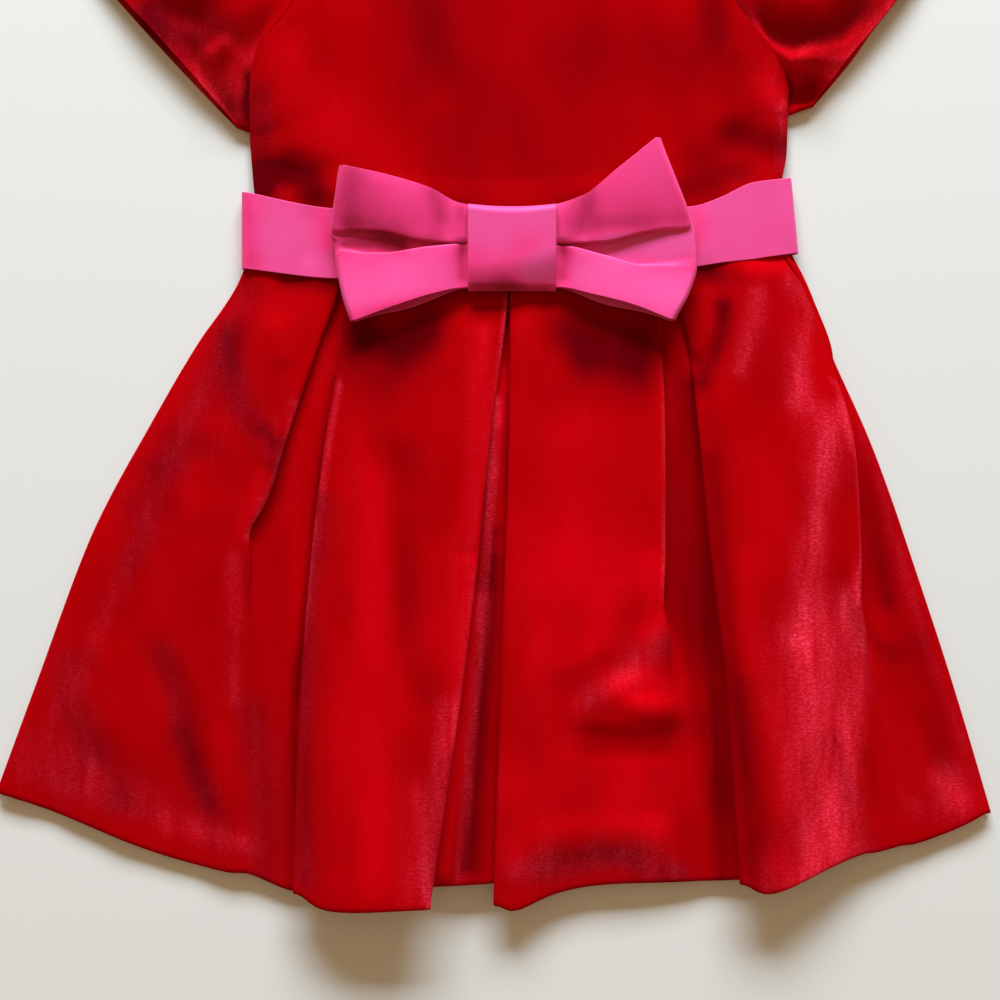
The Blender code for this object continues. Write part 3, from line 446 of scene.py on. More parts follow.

# ---- nap and painted light: strokes along which the pile or the satin is turned, and shade and light are painted ----
# turned is paler above zero and deeper below it, and besides the turn of the pile it paints shade and light:
# the shadows that the bow and the sash cast, shade in pleats, creases and beside the knot, and lit patches;
# bloom is how much the tips of the pile catch the light, a painted sheen
NAP_REST = 0.5
BLOOM_REST = 0.1
STROKE_EDGE_WAVES = Waves(0.12, (22, 60), (40, 140), 11)  # as a share of a stroke's width
STROKE_LEAST_EDGE = 0.2
HEM_SHADE = 0.3  # painted shade: how much deeper the velvet is on the roll of its hem, which faces away from the light
HEM_SHADE_WIDTH = 1.3
Stroke = namedtuple("Stroke", "path width turned bloom", defaults=(0.0,))
# painted shade and light on the skirt, with the turn of its pile: the bow's shadow below it, shade in the
# pleats' gaps and beside the edges, and painted highlights along the fold edges
SKIRT_NAP_AND_PAINTED_LIGHT = {
    "outer left": (
        Stroke(((-134, 14), (-129, -5), (-126, -21), (-119, -33), (-111, -42), (-106, -50)), 7.5, -0.33, 0.4),
        Stroke(((-127, 34), (-137, 5), (-149, -22), (-162, -42), (-169, -55)), 13, -0.25, 0.2),
        Stroke(((-169, -53), (-152, -49), (-137, -44)), 8, -0.15, 0.2),
        Stroke(((-182, -69), (-172, -84), (-180, -101)), 8, -0.14, 0.4),
        Stroke(((-150, -72), (-128, -75), (-142, -94)), 11, 0.12),
        Stroke(((-216, -153), (-212, -173), (-202, -196)), 9, -0.25, 0.8),
        Stroke(((-198, -138), (-193, -158), (-189, -175)), 6, 0.12),
        Stroke(((-164, -146), (-152, -190), (-143, -219)), 7, -0.22, 0.5),
        Stroke(((-136, -185), (-131, -212)), 6, 0.12),
        Stroke(((-117, -175), (-114, -212), (-112, -254)), 9, -0.22, 0.6),
        Stroke(((-162, -231), (-137, -236), (-125, -239)), 7, 0.16),
        Stroke(((-239, -200), (-214, -210), (-169, -227), (-137, -236), (-119, -242)), 6, -0.05, 0.9),
        Stroke(((-228, -190), (-204, -202), (-174, -217)), 8, 0, 0.8),
        Stroke(((-125, 34), (-154, -35), (-173, -79), (-200, -143), (-236, -207)), 5, 0, 0.6),
        Stroke(((-128, -99), (-128, -128), (-129, -168)), 4, 0.05, 0.9),
        Stroke(
            (
                (-97.5, -20), (-99.9, -32.3), (-103.9, -44.6), (-107.8, -56.9),
                (-113.2, -69.2), (-118.2, -79.1), (-122.3, -87.5),
            ),
            1.2, 0.1, 2.4,
        ),
        Stroke(((-182, -75), (-157, -79)), 8, -0.12),
        Stroke(((-114, -58), (-119, -72), (-122, -84)), 5, 0.3),
        Stroke(((-159, -99), (-156, -138)), 16, 0.08),
        Stroke(((-195, -192), (-184, -217)), 8, -0.2),
        Stroke(((-157, -187), (-137, -232)), 9, -0.2),
        Stroke(((-122, -93), (-122, -123)), 3.5, -0.08),
        Stroke(((-104, 40), (-83, 37)), 5, -0.35),
    ),
    "left pleat": (
        Stroke(((-83, 12), (-94, -27), (-97, -54), (-100, -79)), 7, 0.1),
        Stroke(((-96, -89), (-98, -138)), 6, 0.15),
        Stroke(
            ((-78, -10), (-85, -52), (-88, -79), (-91, -106), (-95, -138), (-99, -178), (-101, -256)),
            2.2, -0.35,
        ),
    ),
    "centre left": (
        Stroke(((-65, 11), (-47, 4), (-31, 13)), 13, -0.48),
        Stroke(((-73, -9), (-54, -14)), 10, -0.14),
        Stroke(((-85, -69), (-91, -123), (-93, -197), (-93, -256)), 5, -0.22, 0.5),
        Stroke(((-60, -45), (-59, -99), (-59, -158), (-59, -256)), 11, 0.3),
        Stroke(((-73, -138), (-75, -256)), 7, 0.1),
        Stroke(((-45, -148), (-44, -173)), 8, 0.15),
        Stroke(((-27, -99), (-21, -143)), 9, 0.15),
        Stroke(((-5, 14), (-8, -40), (-12, -99), (-16, -148), (-21, -187)), 6, 0.26, 0.2),
        Stroke(((6.4, 29.2), (1.5, -20), (-6.8, -98.8), (-18.2, -187.4), (-31.5, -271.2)), 1.2, 0.15, 3),
        Stroke(((-23, -168), (-29, -217), (-34, -261)), 4, -0.05, 2),
        Stroke(((-39, -212), (-37, -266)), 7, 0.1, 0.6),
        Stroke(
            ((-76.3, -10.1), (-83.2, -52), (-86.6, -79.1), (-89.6, -106.2), (-93, -138.2)),
            1.1, 0.08, 1.6,
        ),
        Stroke(((-57, -45), (-46, -59), (-45, -99), (-44, -138), (-35, -163)), 8, -0.17),
        Stroke(((-71, -77), (-71, -95)), 7, -0.1),
        Stroke(((-19, 22), (-21, 5)), 7, 0.22),
        Stroke(((-56, -40), (-44, -45)), 8, -0.15),
    ),
    "centre pleat": (
        Stroke(((1, -20), (-3, -89), (-8, -163), (-13, -217), (-17, -259)), 2.2, 0.1, 2.2),
        Stroke(((-5, -118), (-13, -178), (-21, -217), (-26, -251)), 4, 0.22),
        Stroke(((6, -20), (4, -54), (-1, -99), (-5, -138), (-10, -207), (-15, -251)), 4, -0.3),
        Stroke(((2, -99), (-2, -138), (-5, -197), (-10, -251)), 5, -0.25),
        Stroke(((3, -5), (2, -30)), 4, 0.35),
        Stroke(((2, -20), (2, -79)), 4, 0.25),
        Stroke(((-10, -118), (-15, -168), (-20, -207), (-24, -252)), 3.5, 0.4),
        Stroke(((3, -89), (3, -168)), 2.5, 0.15),
    ),
    "centre right": (
        Stroke(((38, 14), (56, 9), (72, 7)), 13, -0.44),
        Stroke(((48, -2), (73, -8)), 10, -0.32),
        Stroke(((33, -18), (72, -21)), 11, -0.12),
        Stroke(((23, -109), (52, -111), (77, -114)), 24, 0.38),
        Stroke(((77, -99), (78, -126)), 8, 0.25),
        Stroke(((88, -18), (88, -60)), 5, 0.3),
        Stroke(((13, -99), (12, -168), (13, -256)), 6, 0.05),
        Stroke(((86, -138), (72, -146), (59, -158), (48, -167)), 6, -0.2, 0.9),
        Stroke(((61, -159), (79, -163), (97, -162)), 9, 0.45),
        Stroke(((12, -210), (52, -206), (99, -211)), 15, 0.26),
        Stroke(((18, -230), (52, -226), (82, -228)), 9, 0.2),
        Stroke(((13, -252), (33, -249), (52, -245), (74, -248), (92, -254)), 7, -0.26, 1.3),
        Stroke(((83.8, 19.4), (84.3, -59.4), (83.8, -118.5)), 1.1, 0.15, 3),
        Stroke(((14, 17), (19, 7)), 6, 0.12),
        Stroke(((42, -40), (42, -89)), 18, 0.2),
        Stroke(((33, -138), (57, -148)), 14, 0.33),
        Stroke(((47, -192), (92, -192)), 5, -0.2),
        Stroke(((15, -99), (14, -118)), 10, -0.15),
        Stroke(((57, -118), (72, -128)), 9, 0.2),
        Stroke(((65, -118), (62, -133)), 8, 0.15),
        Stroke(((25, -148), (47, -150)), 9, 0.15),
        Stroke(((25, -168), (28, -192)), 10, 0.2),
        Stroke(((72, -212), (84, -242)), 10, 0.2),
        Stroke(((9, -239), (12, -251)), 7, 0.25),
    ),
    "right pleat": (
        Stroke(((99, -13), (101, -59), (104, -99), (109, -168), (113, -256)), 4, -0.25),
        Stroke(((109, -168), (112, -197), (113, -217)), 7, -0.12),
        Stroke(((97, -163), (102, -168)), 9, 0.12),
        Stroke(((92, -13), (95, -99), (100, -183)), 7, -0.26),
    ),
    "outer right": (
        Stroke(((113, 26), (112, 12), (109, 1), (102, -11)), 5, -0.42),
        Stroke(((97, 29), (96, 7)), 8, -0.16),
        Stroke(((131, 37), (134, -10)), 17, -0.14),
        Stroke(((107, -30), (110, -79), (115, -138)), 6, -0.08),
        Stroke(((116, -148), (123, -187), (128, -217), (133, -257)), 6.5, -0.18),
        Stroke(((151, -18), (154, -54)), 8, 0.1, 0.3),
        Stroke(((130, 33), (126, 14), (120, -6)), 4, 0.05, 1.4),
        Stroke(((149, 38), (154, 23), (151, 5), (148, -21)), 5, 0.05, 1.7),
        Stroke(((168, -26), (161, -54), (155, -99), (148, -138)), 6, 0.1, 2.2),
        Stroke(((154, -138), (158, -178), (162, -217), (157, -256)), 15, 0.32, 2.1),
        Stroke(((173, -118), (178, -158), (171, -207), (178, -248)), 8, 0.12, 1.3),
        Stroke(((169, -187), (175, -217)), 3, -0.2),
        Stroke(
            (
                (167.5, -11.1), (174.4, -34.8), (178.8, -50.5), (181.3, -79.1),
                (180.8, -98.8), (178.8, -118.5),
            ),
            1.3, 0.15, 3,
        ),
        Stroke(((174, -119), (181, -139)), 6, -0.1, 1.5),
        Stroke(((138, -168), (140, -217)), 7, 0.15),
        Stroke(((139, -247), (146, -256)), 8, 0.2),
        Stroke(((119, 46), (143, 49)), 6, 0.45),
        Stroke(((103, 44), (119, 44)), 6, -0.42),
        Stroke(((106, -50), (110, -89), (118, -158), (125, -250)), 5, -0.18),
        Stroke(((131, -54), (133, -99)), 12, 0.12),
        Stroke(((122, -99), (124, -148)), 8, 0.15),
    ),
    "right side": (
        Stroke(((186, -40), (190, -79), (196, -118)), 6, -0.22),
        Stroke(((190, -99), (202, -127), (214, -138)), 9, -0.12),
        Stroke(((184, -138), (199, -146)), 6, -0.2),
        Stroke(((211, -143), (219, -168), (224, -197)), 8, -0.18),
        Stroke(((186, -178), (192, -202), (192, -242)), 7, 0.2),
        Stroke(((225, -207), (233, -218)), 9, 0.1, 1.6),
        Stroke(((179, -20), (195, -69), (215, -138), (242, -212)), 3, 0, 1.2),
        Stroke(((230, -217), (242, -220)), 6, 0.25),
        Stroke(((184, -178), (190, -217)), 8, 0.12),
        Stroke(((190, -217), (215, -224)), 6, 0, 0.6),
    ),
}
# painted shade and light on the bodice, with the turn of its pile
BODICE_NAP_AND_PAINTED_LIGHT = (
    Stroke(((-99, 88), (-96, 82)), 6, -0.22),
    Stroke(((-100, 157), (-91, 133), (-73, 113), (-49, 98)), 18, 0.16),
    Stroke(((-27, 177), (-22, 128), (-12, 78)), 34, -0.18),
    Stroke(((-35, 177), (-28, 146)), 13, -0.15),
    Stroke(((33, 177), (33, 88)), 28, -0.1),
    Stroke(((52, 151), (97, 146)), 20, -0.15),
    Stroke(((109, 177), (113, 163)), 8, -0.32),
    Stroke(((72, 172), (119, 145)), 13, -0.06),
    Stroke(((-116, 130), (-117, 88)), 8, -0.3, 0.4),
    Stroke(((-116, 86), (-114, 93), (-103, 96), (-91, 93), (-88, 82)), 8, -0.5),
    Stroke(((-105, 83), (-102, 76)), 5, 0.08),
    Stroke(((120, 113), (132, 110), (143, 108)), 9.5, -0.4),
    Stroke(((97, 88), (119, 92)), 9, -0.28),
    Stroke(((119, 87), (124, 85)), 6, 0.2, 0.4),
    Stroke(((144, 128), (144, 93)), 2, 0, 1.2),
    Stroke(((137, 147), (140, 125)), 7, 0.3, 0.2),
    Stroke(((102, 103), (107, 102)), 9, -0.2),
    Stroke(((-93, 167), (-87, 151)), 10, -0.15),
    Stroke(((-29, 140), (-27, 128)), 10, 0.12),
)
# painted shade and light on the sleeves, with the turn of their pile: shade in the puff's fold and at the
# underarm, and a painted sheen along the hems
SLEEVE_NAP_AND_PAINTED_LIGHT = {
    -1: (
        Stroke(((-174, 171), (-152, 163), (-132, 160)), 9, -0.34, 0.6),
        Stroke(((-164, 157), (-150, 151)), 7, -0.16, 0.5),
        Stroke(((-139, 151), (-125, 153)), 7, 0.3, 0.4),
        Stroke(((-143, 138), (-127, 141)), 8, 0.22, 0.8),
        Stroke(((-141, 133), (-129, 131)), 6, 0.15, 1),
        Stroke(((-122, 142), (-120, 117)), 3.5, -0.6),
        Stroke(((-123, 108), (-118, 98)), 3, -0.3),
        Stroke(((-185, 177), (-163, 154), (-143, 133), (-128, 122)), 2.4, 0, 1.1),
        Stroke(((-121, 170), (-125, 153)), 7, 0.32),
        Stroke(((-131, 127), (-123, 128)), 6, -0.3),
        Stroke(((-169, 176), (-150, 174)), 7, -0.2),
    ),
    1: (
        Stroke(((145, 149), (158, 149)), 5, -0.22),
        Stroke(((122, 173), (135, 162), (151, 158), (170, 163), (184, 176)), 7, -0.26, 0.5),
        Stroke(((143, 175), (160, 175)), 5, 0.5),
        Stroke(((118, 172), (127, 161), (138, 151), (149, 148)), 6, 0.35),
        Stroke(((149, 149), (166, 148), (178, 156)), 6, 0.1, 0.4),
        Stroke(((147, 137), (157, 136)), 5, -0.25),
        Stroke(((198, 177), (181, 154), (166, 142)), 3, 0.25, 1.4),
        Stroke(((145, 141), (147, 135), (146, 128)), 2, -0.45),
        Stroke(((151, 146), (168, 144)), 5, 0.3),
        Stroke(((135, 160), (144, 156)), 6, 0.15),
        Stroke(((122, 177), (125, 169)), 4, -0.25),
    ),
}
# painted shade and light on the sash: the bow's shadow on it, shade where it turns round the waist, and paler
# lit stretches
SASH_PAINTED_LIGHT = (
    Stroke(((-130, 59), (-96, 63)), 9, 0.1),
    Stroke(((-85, 73), (-82, 59)), 5, -0.42),
    Stroke(((102, 76), (100, 59)), 3.5, -0.3),
    Stroke(((104, 73), (146, 75)), 10, 0.05),
    Stroke(((-121, 79), (-121, 48)), 5.5, -0.42),
    Stroke(((102, 76), (146, 76)), 4, 0.05),
)
# painted light on the bow: paler lower lobes that face the light, and painted shade in the pinches beside the
# knot, in the valley and under the upper fold
BOW_PAINTED_LIGHT = (
    Stroke(((-73, 29), (-46, 37), (-17, 42)), 15, 0.38),
    Stroke(((35, 42), (62, 37), (92, 29)), 15, 0.42),
    Stroke(((-71, 66), (-57, 65), (-45, 62)), 5, -0.22),
    Stroke(((-30, 89), (-29, 78), (-26, 70)), 5, -0.26),
    Stroke(((-16, 81), (-16, 68)), 3, -0.2),
    Stroke(((-16, 50), (-15, 34)), 4.5, -0.4),
    Stroke(((35, 50), (34, 34)), 4.5, -0.4),
    Stroke(((47, 84), (46, 73), (43, 63)), 5, -0.26),
    Stroke(((38, 78), (36, 61)), 4, -0.12),
    Stroke(((72, 98), (79, 78)), 14, 0.1),
    Stroke(((-51, 56), (-27, 59)), 3.5, -0.25),
    Stroke(((-77, 60), (-66, 59)), 5, 0.12),
    Stroke(((62, 56), (97, 58)), 8, 0.5),
    Stroke(((-71, 20), (-27, 31)), 3, -0.3),
    Stroke(((-70, 96), (-70, 66)), 9, -0.34),
    Stroke(((52, 65), (92, 67)), 5, -0.32),
    Stroke(((-73, 57), (-46, 55)), 4, -0.5),
    Stroke(((47, 73), (92, 76)), 8, -0.08),
)
# painted light on the knot: a paler top and painted shade along its bottom edge
KNOT_PAINTED_LIGHT = (
    Stroke(((20, 40), (27, 39)), 6, 0.3),
    Stroke(((-10, 37), (-5, 38)), 5, 0.25),
    Stroke(((-9, 66), (25, 68)), 14, 0.45),
    Stroke(((-7, 37), (23, 44)), 9, -0.05),
    Stroke(((18, 43), (25, 48)), 7, 0.45),
    Stroke(((-9, 36), (25, 35)), 4, -0.45),
)
SASH_CREASES = (
    Crease(((-119, 84), (-118, 45)), 4, 0.5),
    Crease(((-92, 80), (-91, 42)), 6, -0.7),
    Crease(((103, 80), (106, 44)), 5, 0.7),
    Crease(((146, 90), (148, 52)), 4, 0.5),
)
KNOT_CREASES = (
    Crease(((27.6, 82), (27.6, 26)), 1.2, -0.35),
    Crease(((-9.6, 82), (-9.4, 26)), 1.0, -0.2),
)
BOW_CREASES = (
    Crease(((47, 96), (46.5, 82), (45, 69), (43, 50)), 4.5, -1.6),
    Crease(((-20, 94), (-22, 76), (-25, 50)), 6, -0.9),
    Crease(((-15, 60), (-15.5, 46), (-15, 31)), 4.5, -2.2),
    Crease(((33.5, 60), (34.5, 46), (33, 31)), 5, -2.4),
)


# ---- curves ----
def lerp(a, b, share):
    return a + (b - a) * share


def smoothstep(low, high, value):
    share = np.clip((value - low) / (high - low), 0, 1)
    return share * share * (3 - 2 * share)


def curve_through(stops, values, at):
    """A smooth curve through the values at the stops, read at one place or many. It never overshoots them."""
    stops, values = np.asarray(stops, float), np.asarray(values, float)
    at = np.clip(np.asarray(at, float), stops[0], stops[-1])
    spans = np.diff(stops)
    rises = np.diff(values) / spans
    same_way = rises[:-1] * rises[1:] > 0
    sums = np.where(same_way, rises[:-1] + rises[1:], 1.0)
    inner = np.where(same_way, 2 * rises[:-1] * rises[1:] / sums, 0.0)
    slopes = np.concatenate([rises[:1], inner, rises[-1:]])
    k = np.clip(np.searchsorted(stops, at, side="right") - 1, 0, len(spans) - 1)
    s = (at - stops[k]) / spans[k]
    return (
        (2 * s**3 - 3 * s**2 + 1) * values[k]
        + (s**3 - 2 * s**2 + s) * spans[k] * slopes[k]
        + (3 * s**2 - 2 * s**3) * values[k + 1]
        + (s**3 - s**2) * spans[k] * slopes[k + 1]
    )


def along_spline(controls, places):
    """A uniform cubic B-spline that keeps its ends, read at places from 0 to the last control point.

    controls is (lines, control points, values), and the answer is (lines, places, values).
    """
    first = 2 * controls[:, :1] - controls[:, 1:2]
    last = 2 * controls[:, -1:] - controls[:, -2:-1]
    padded = np.concatenate([first, controls, last], axis=1)
    k = np.minimum(places.astype(int), controls.shape[1] - 2)
    f = (places - k)[None, :, None]
    weights = ((1 - f) ** 3, 3 * f**3 - 6 * f**2 + 4, -3 * f**3 + 3 * f**2 + 3 * f + 1, f**3)
    return sum(weight * padded[:, k + j] for j, weight in enumerate(weights)) / 6


def spline_places(controls, step, most):
    """Places along a spline, about a step apart on its widest line, and 2 to most of them in each span."""
    widths = np.linalg.norm(np.diff(controls, axis=1), axis=2).max(axis=0)
    counts = np.clip(np.ceil(widths / step).astype(int), 2, most)
    places = [k + np.arange(count) / count for k, count in enumerate(counts)]
    return np.append(np.concatenate(places), len(counts))


def distance_to_path(path, x, y):
    """For each point: the distance to a path, that distance with a sign, and the share of the way along it.

    The signed distance is above zero on the right of the path.
    """
    path = np.asarray(path, float)
    runs = np.linalg.norm(np.diff(path, axis=0), axis=1)
    starts = np.concatenate([[0], np.cumsum(runs)])
    nearest = np.full(np.shape(x), np.inf)
    signed = np.zeros(np.shape(x))
    along = np.zeros(np.shape(x))
    for (ax, ay), (bx, by), run, start in zip(path, path[1:], runs, starts):
        ux, uy = (bx - ax) / run, (by - ay) / run
        s = np.clip((x - ax) * ux + (y - ay) * uy, 0, run)
        away = np.hypot(x - ax - s * ux, y - ay - s * uy)
        closer = away < nearest
        nearest = np.where(closer, away, nearest)
        signed = np.where(closer, (x - ax) * uy - (y - ay) * ux, signed)
        along = np.where(closer, (start + s) / starts[-1], along)
    return nearest, signed, along


def crease_shift(creases, x, y):
    """How far a table of creases moves the cloth up at each point."""
    moved = np.zeros(np.shape(x))
    for crease in creases:
        away, signed, along = distance_to_path(crease.path, x, y)
        width = crease.width * np.where(signed > 0, 1 - crease.lean, 1 + crease.lean)
        across = np.clip(1 - (away / width) ** 2, 0, None) ** 2
        fade = smoothstep(0, CREASE_FADE, along) * smoothstep(1, 1 - CREASE_FADE, along)
        moved += crease.depth * across * fade
    return moved


def brushed(strokes, x, y):
    """How far the strokes turn the nap and paint shade and light at each point, and their bloom, a painted
    sheen. A stroke fades out over its width.
    """
    changed = np.zeros((*np.shape(x), 2))
    uneven = 1 + wander(x, y, STROKE_EDGE_WAVES)
    for stroke in strokes:
        away, _, _ = distance_to_path(stroke.path, x, y)
        reach = np.exp(-((away * np.maximum(uneven, STROKE_LEAST_EDGE) / stroke.width) ** 2))
        changed += reach[..., None] * (stroke.turned, stroke.bloom)
    return changed


def nap_at_rest(grid):
    return np.broadcast_to((NAP_REST, BLOOM_REST), (*grid.shape[:2], 2))


def wander(x, y, waves):
    """Low waves without a pattern."""
    random = np.random.default_rng(waves.seed)
    total = np.zeros(np.broadcast(x, y).shape)
    for _ in range(waves.count):
        turns = x / random.uniform(*waves.across) + random.choice((-1, 1)) * y / random.uniform(*waves.along)
        total += np.sin(2 * math.pi * (turns + random.uniform(0, 1)))
    return waves.height * total / math.sqrt(waves.count / 2)


# ---- heights ----
def waist_y(x):
    return curve_through(WAIST_X, WAIST_Y, x)


def sash_lift(x, y):
    """The lift where the dress lies over the back of the sash."""
    away = np.abs(y - waist_y(x))
    return SASH_LIFT * (1 - smoothstep(SASH_REACH, SASH_REACH + SASH_FADE, away))


def button_lift(x, y):
    """The lift where the back lies over the button."""
    away = np.hypot(x - CENTRE_X, y - BUTTON_Y)
    return BUTTON_LIFT * (1 - smoothstep(BUTTON_LIFT_FROM, BUTTON_LIFT_TO, away))


def seam_round(distance):
    """0 at a seam, rising on a quarter circle to 1 at SEAM_ROUND from it."""
    inside = np.clip(distance / SEAM_ROUND, 0, 1)
    return np.sqrt(1 - (1 - inside) ** 2)


# ---- folds, shared by the skirt and the bow ----
def fold_controls(across, lift, tuck, gap, low, soft, turn):
    """Eight control points of a fold, from the panel to the underlay, as (across, height, is inner fold)."""
    shut = smoothstep(-2 * soft, 2 * soft, tuck)
    drop = lift - low
    edge_offsets = [lerp(a * soft, b * soft, shut) for a, b in zip(OPEN_FOLD, SHUT_EDGE)]
    inner_offsets = [lerp(a * soft, -b * soft, shut) for a, b in zip(OPEN_FOLD, SHUT_EDGE)]
    little, more = (lerp(share * drop, gap, shut) for share in OPEN_FOLD_DROPS)
    edge_drops = (0, 0, little, more)
    inner_rises = (more, little, 0, 0)
    edge = [(across + turn * offset, lift - down, False) for offset, down in zip(edge_offsets, edge_drops)]
    inside = across - turn * tuck
    inner = [(inside + turn * offset, low + up, True) for offset, up in zip(inner_offsets, inner_rises)]
    return (edge + inner)[::turn]


# ---- skirt ----
def edge_controls(row, levels, front_seam_z):
    """Control points of a side, a ridge or a pleat's edge, left to right, as (x, z, hem)."""
    x = curve_through(LEVELS, row.x, levels)
    z = curve_through(LEVELS, row.lift, levels)
    if row.kind == "ridge":
        return [(x, z, row.hem)]
    if row.kind == "side":
        inward = 1 if row.x[0] < 0 else -1
        seam = [(x + inward * d, lerp(front_seam_z, z, seam_round(d)), row.hem) for d in SEAM_STEPS]
        return [*seam, (x + inward * SEAM_ROUND, z, row.hem)][::inward]
    low = curve_through(LEVELS, UNDERLAY_Z, levels)
    gap = curve_through(LEVELS, PLEAT_GAP, levels)
    tuck = curve_through(LEVELS, row.tuck, levels)
    turn = 1 if row.kind == "right_edge" else -1
    folded = fold_controls(x, z, tuck, gap, low, row.soft, turn)
    return [(across, height, row.inner_hem if inner else row.hem) for across, height, inner in folded]


def skirt_controls(levels, front_seam_z):
    """All the control points of the skirt front, left to right, as (x, z, hem), at an array of levels."""
    placed_between = ("between", "underlay")
    found = [
        None if row.kind in placed_between else edge_controls(row, levels, front_seam_z) for row in SKIRT_ROWS
    ]
    controls = []
    for i, row in enumerate(SKIRT_ROWS):
        if found[i]:
            controls += found[i]
            continue
        start = next(part for part in found[i::-1] if part)[-1][0]
        end = next(part for part in found[i:] if part)[0][0]
        controls.append((lerp(start, end, row.x), curve_through(LEVELS, row.lift, levels), row.hem))
    return controls


def panel_weights():
    """How far each control point moves with the creases of each panel, as (control points, panels)."""
    lines = []
    for i, row in enumerate(SKIRT_ROWS):
        own = PANELS.index(row.panel)
        if row.kind == "side":
            shares = [*np.linspace(0, 0.4, len(SEAM_STEPS) + 1)]
            lines += [{own: share} for share in (shares if i == 0 else shares[::-1])]
        elif row.kind in ("right_edge", "left_edge"):
            turn = 1 if row.kind == "right_edge" else -1
            under = PANELS.index(SKIRT_ROWS[i + turn].panel)
            lines += [{own: a, under: b} for a, b in zip(FOLLOWS_PANEL, FOLLOWS_UNDERLAY)][::turn]
        else:
            lines.append({own: 1.0})
    weights = np.zeros((1, len(lines), len(PANELS)))
    for i, line in enumerate(lines):
        for panel, share in line.items():
            weights[0, i, panel] = share
    return weights


def skirt_shares(hem_turn):
    """The skirt's lines of points, as shares of the way from waist to hem, closer together at the hem."""
    above = np.linspace(0, 1 - hem_turn / SKIRT_LENGTH, int((SKIRT_LENGTH - hem_turn) / SKIRT_STEP) + 1)
    below = 1 - np.array(HEM_LINES) * hem_turn / SKIRT_LENGTH
    return np.concatenate([above, below])


def skirt_front_points(front_seam_z, hem_turn):
    """The skirt front's grid, from the waist to the hem, and the lie of its nap with its painted shade and
    light.
    """
    shares = skirt_shares(hem_turn)
    at_waist = skirt_controls(np.zeros(1), front_seam_z)
    controls = np.empty((len(shares), len(at_waist), 3))
    for i, (waist_x, _, hem) in enumerate(at_waist):
        y = lerp(waist_y(waist_x) - WAIST_GAP, hem, shares)
        x, z, _ = skirt_controls(WAIST_LEVEL_Y - y, front_seam_z)[i]
        controls[:, i] = np.stack([x, y, z], axis=1)
    places = spline_places(controls, SKIRT_STEP, SKIRT_MOST)
    grid = along_spline(controls, places)
    parts = np.clip(along_spline(panel_weights(), places)[0], 0, 1)
    ends = len(SEAM_STEPS)
    from_end = np.minimum(places, len(at_waist) - 1 - places)
    over_sash = 1 - smoothstep(ends, ends + OVER_SASH_FADE, from_end)
    grid[..., 2] += sash_lift(grid[..., 0], grid[..., 1]) * over_sash
    for k, panel in enumerate(PANELS):
        creases = SKIRT_CREASES.get(panel, ())
        grid[..., 2] += crease_shift(creases, grid[..., 0], grid[..., 1]) * parts[:, k]
    on_top = parts.sum(axis=1)
    wavy = on_top * smoothstep(0, SKIRT_CALM, shares)[:, None]
    grid[..., 2] += wander(grid[..., 0], grid[..., 1], SKIRT_WAVES) * wavy
    # the turn of the pile with painted shade and light, panel by panel
    tone_and_painted_light = nap_at_rest(grid)
    for k, panel in enumerate(PANELS):
        tone_and_painted_light = tone_and_painted_light + brushed(SKIRT_NAP_AND_PAINTED_LIGHT[panel], grid[..., 0], grid[..., 1]) * parts[:, k, None]
    # painted shade along the roll of the hem
    from_hem = (1 - shares) * SKIRT_LENGTH
    tone_and_painted_light[..., 0] -= HEM_SHADE * np.exp(-((from_hem / HEM_SHADE_WIDTH) ** 2))[:, None]
    return grid, tone_and_painted_light


def turn_hem(grid):
    """Adds a hem: the cloth turned under at the last line and run back up inside, over the lines above it."""
    along = np.gradient(grid, axis=1)
    down = np.gradient(grid, axis=0)
    normal = np.cross(along, down)
    normal /= np.linalg.norm(normal, axis=2, keepdims=True)
    down /= np.linalg.norm(down, axis=2, keepdims=True)
    turned = [
        grid[-1] + HEM_RISE * (down[-1] * math.sin(a) + normal[-1] * (1 - math.cos(a)))
        for a in np.linspace(0, math.pi, HEM_TURN_STEPS + 1)[1:]
    ]
    above = slice(-2, -2 - len(HEM_LINES), -1)
    back_up = grid[above] + 2 * HEM_RISE * normal[above]
    return np.concatenate([grid, np.stack(turned), back_up])


def skirt_back_points(back_seam_z, back_z, hem_turn):
    """The skirt back's grid, plain and flat, between the same two side seams as the front."""
    left, right = SKIRT_ROWS[0], SKIRT_ROWS[-1]
    t = skirt_shares(hem_turn)[::2, None]
    share = np.linspace(0, 1, BACK_COLUMNS)
    edge = np.array(SEAM_STEPS)
    share = np.concatenate([np.zeros(len(edge)), share, np.ones(len(edge))])[None, :]
    inset = np.concatenate([edge, np.full(BACK_COLUMNS, SEAM_ROUND), edge[::-1]])[None, :]
    hem = lerp(left.hem, right.hem, share) - BACK_HEM_DROP * np.sin(math.pi * share)
    y = lerp(waist_y(lerp(left.x[0], right.x[0], share)) - WAIST_GAP, hem, t)
    ends = [
        curve_through(LEVELS, side.x, WAIST_LEVEL_Y - lerp(waist_y(side.x[0]) - WAIST_GAP, side.hem, t))
        for side in (left, right)
    ]
    x = lerp(ends[0] + inset, ends[1] - inset, share)
    z = lerp(back_seam_z, back_z, seam_round(inset)) + sash_lift(x, y)
    return np.stack([x, y, z + 0 * x], axis=2)


# ---- bodice ----
def edge_x(side, y):
    """The side seam and the armhole at height y. side is -1 for the left and 1 for the right."""
    return curve_through(EDGE_Y[side], EDGE_X[side], y)


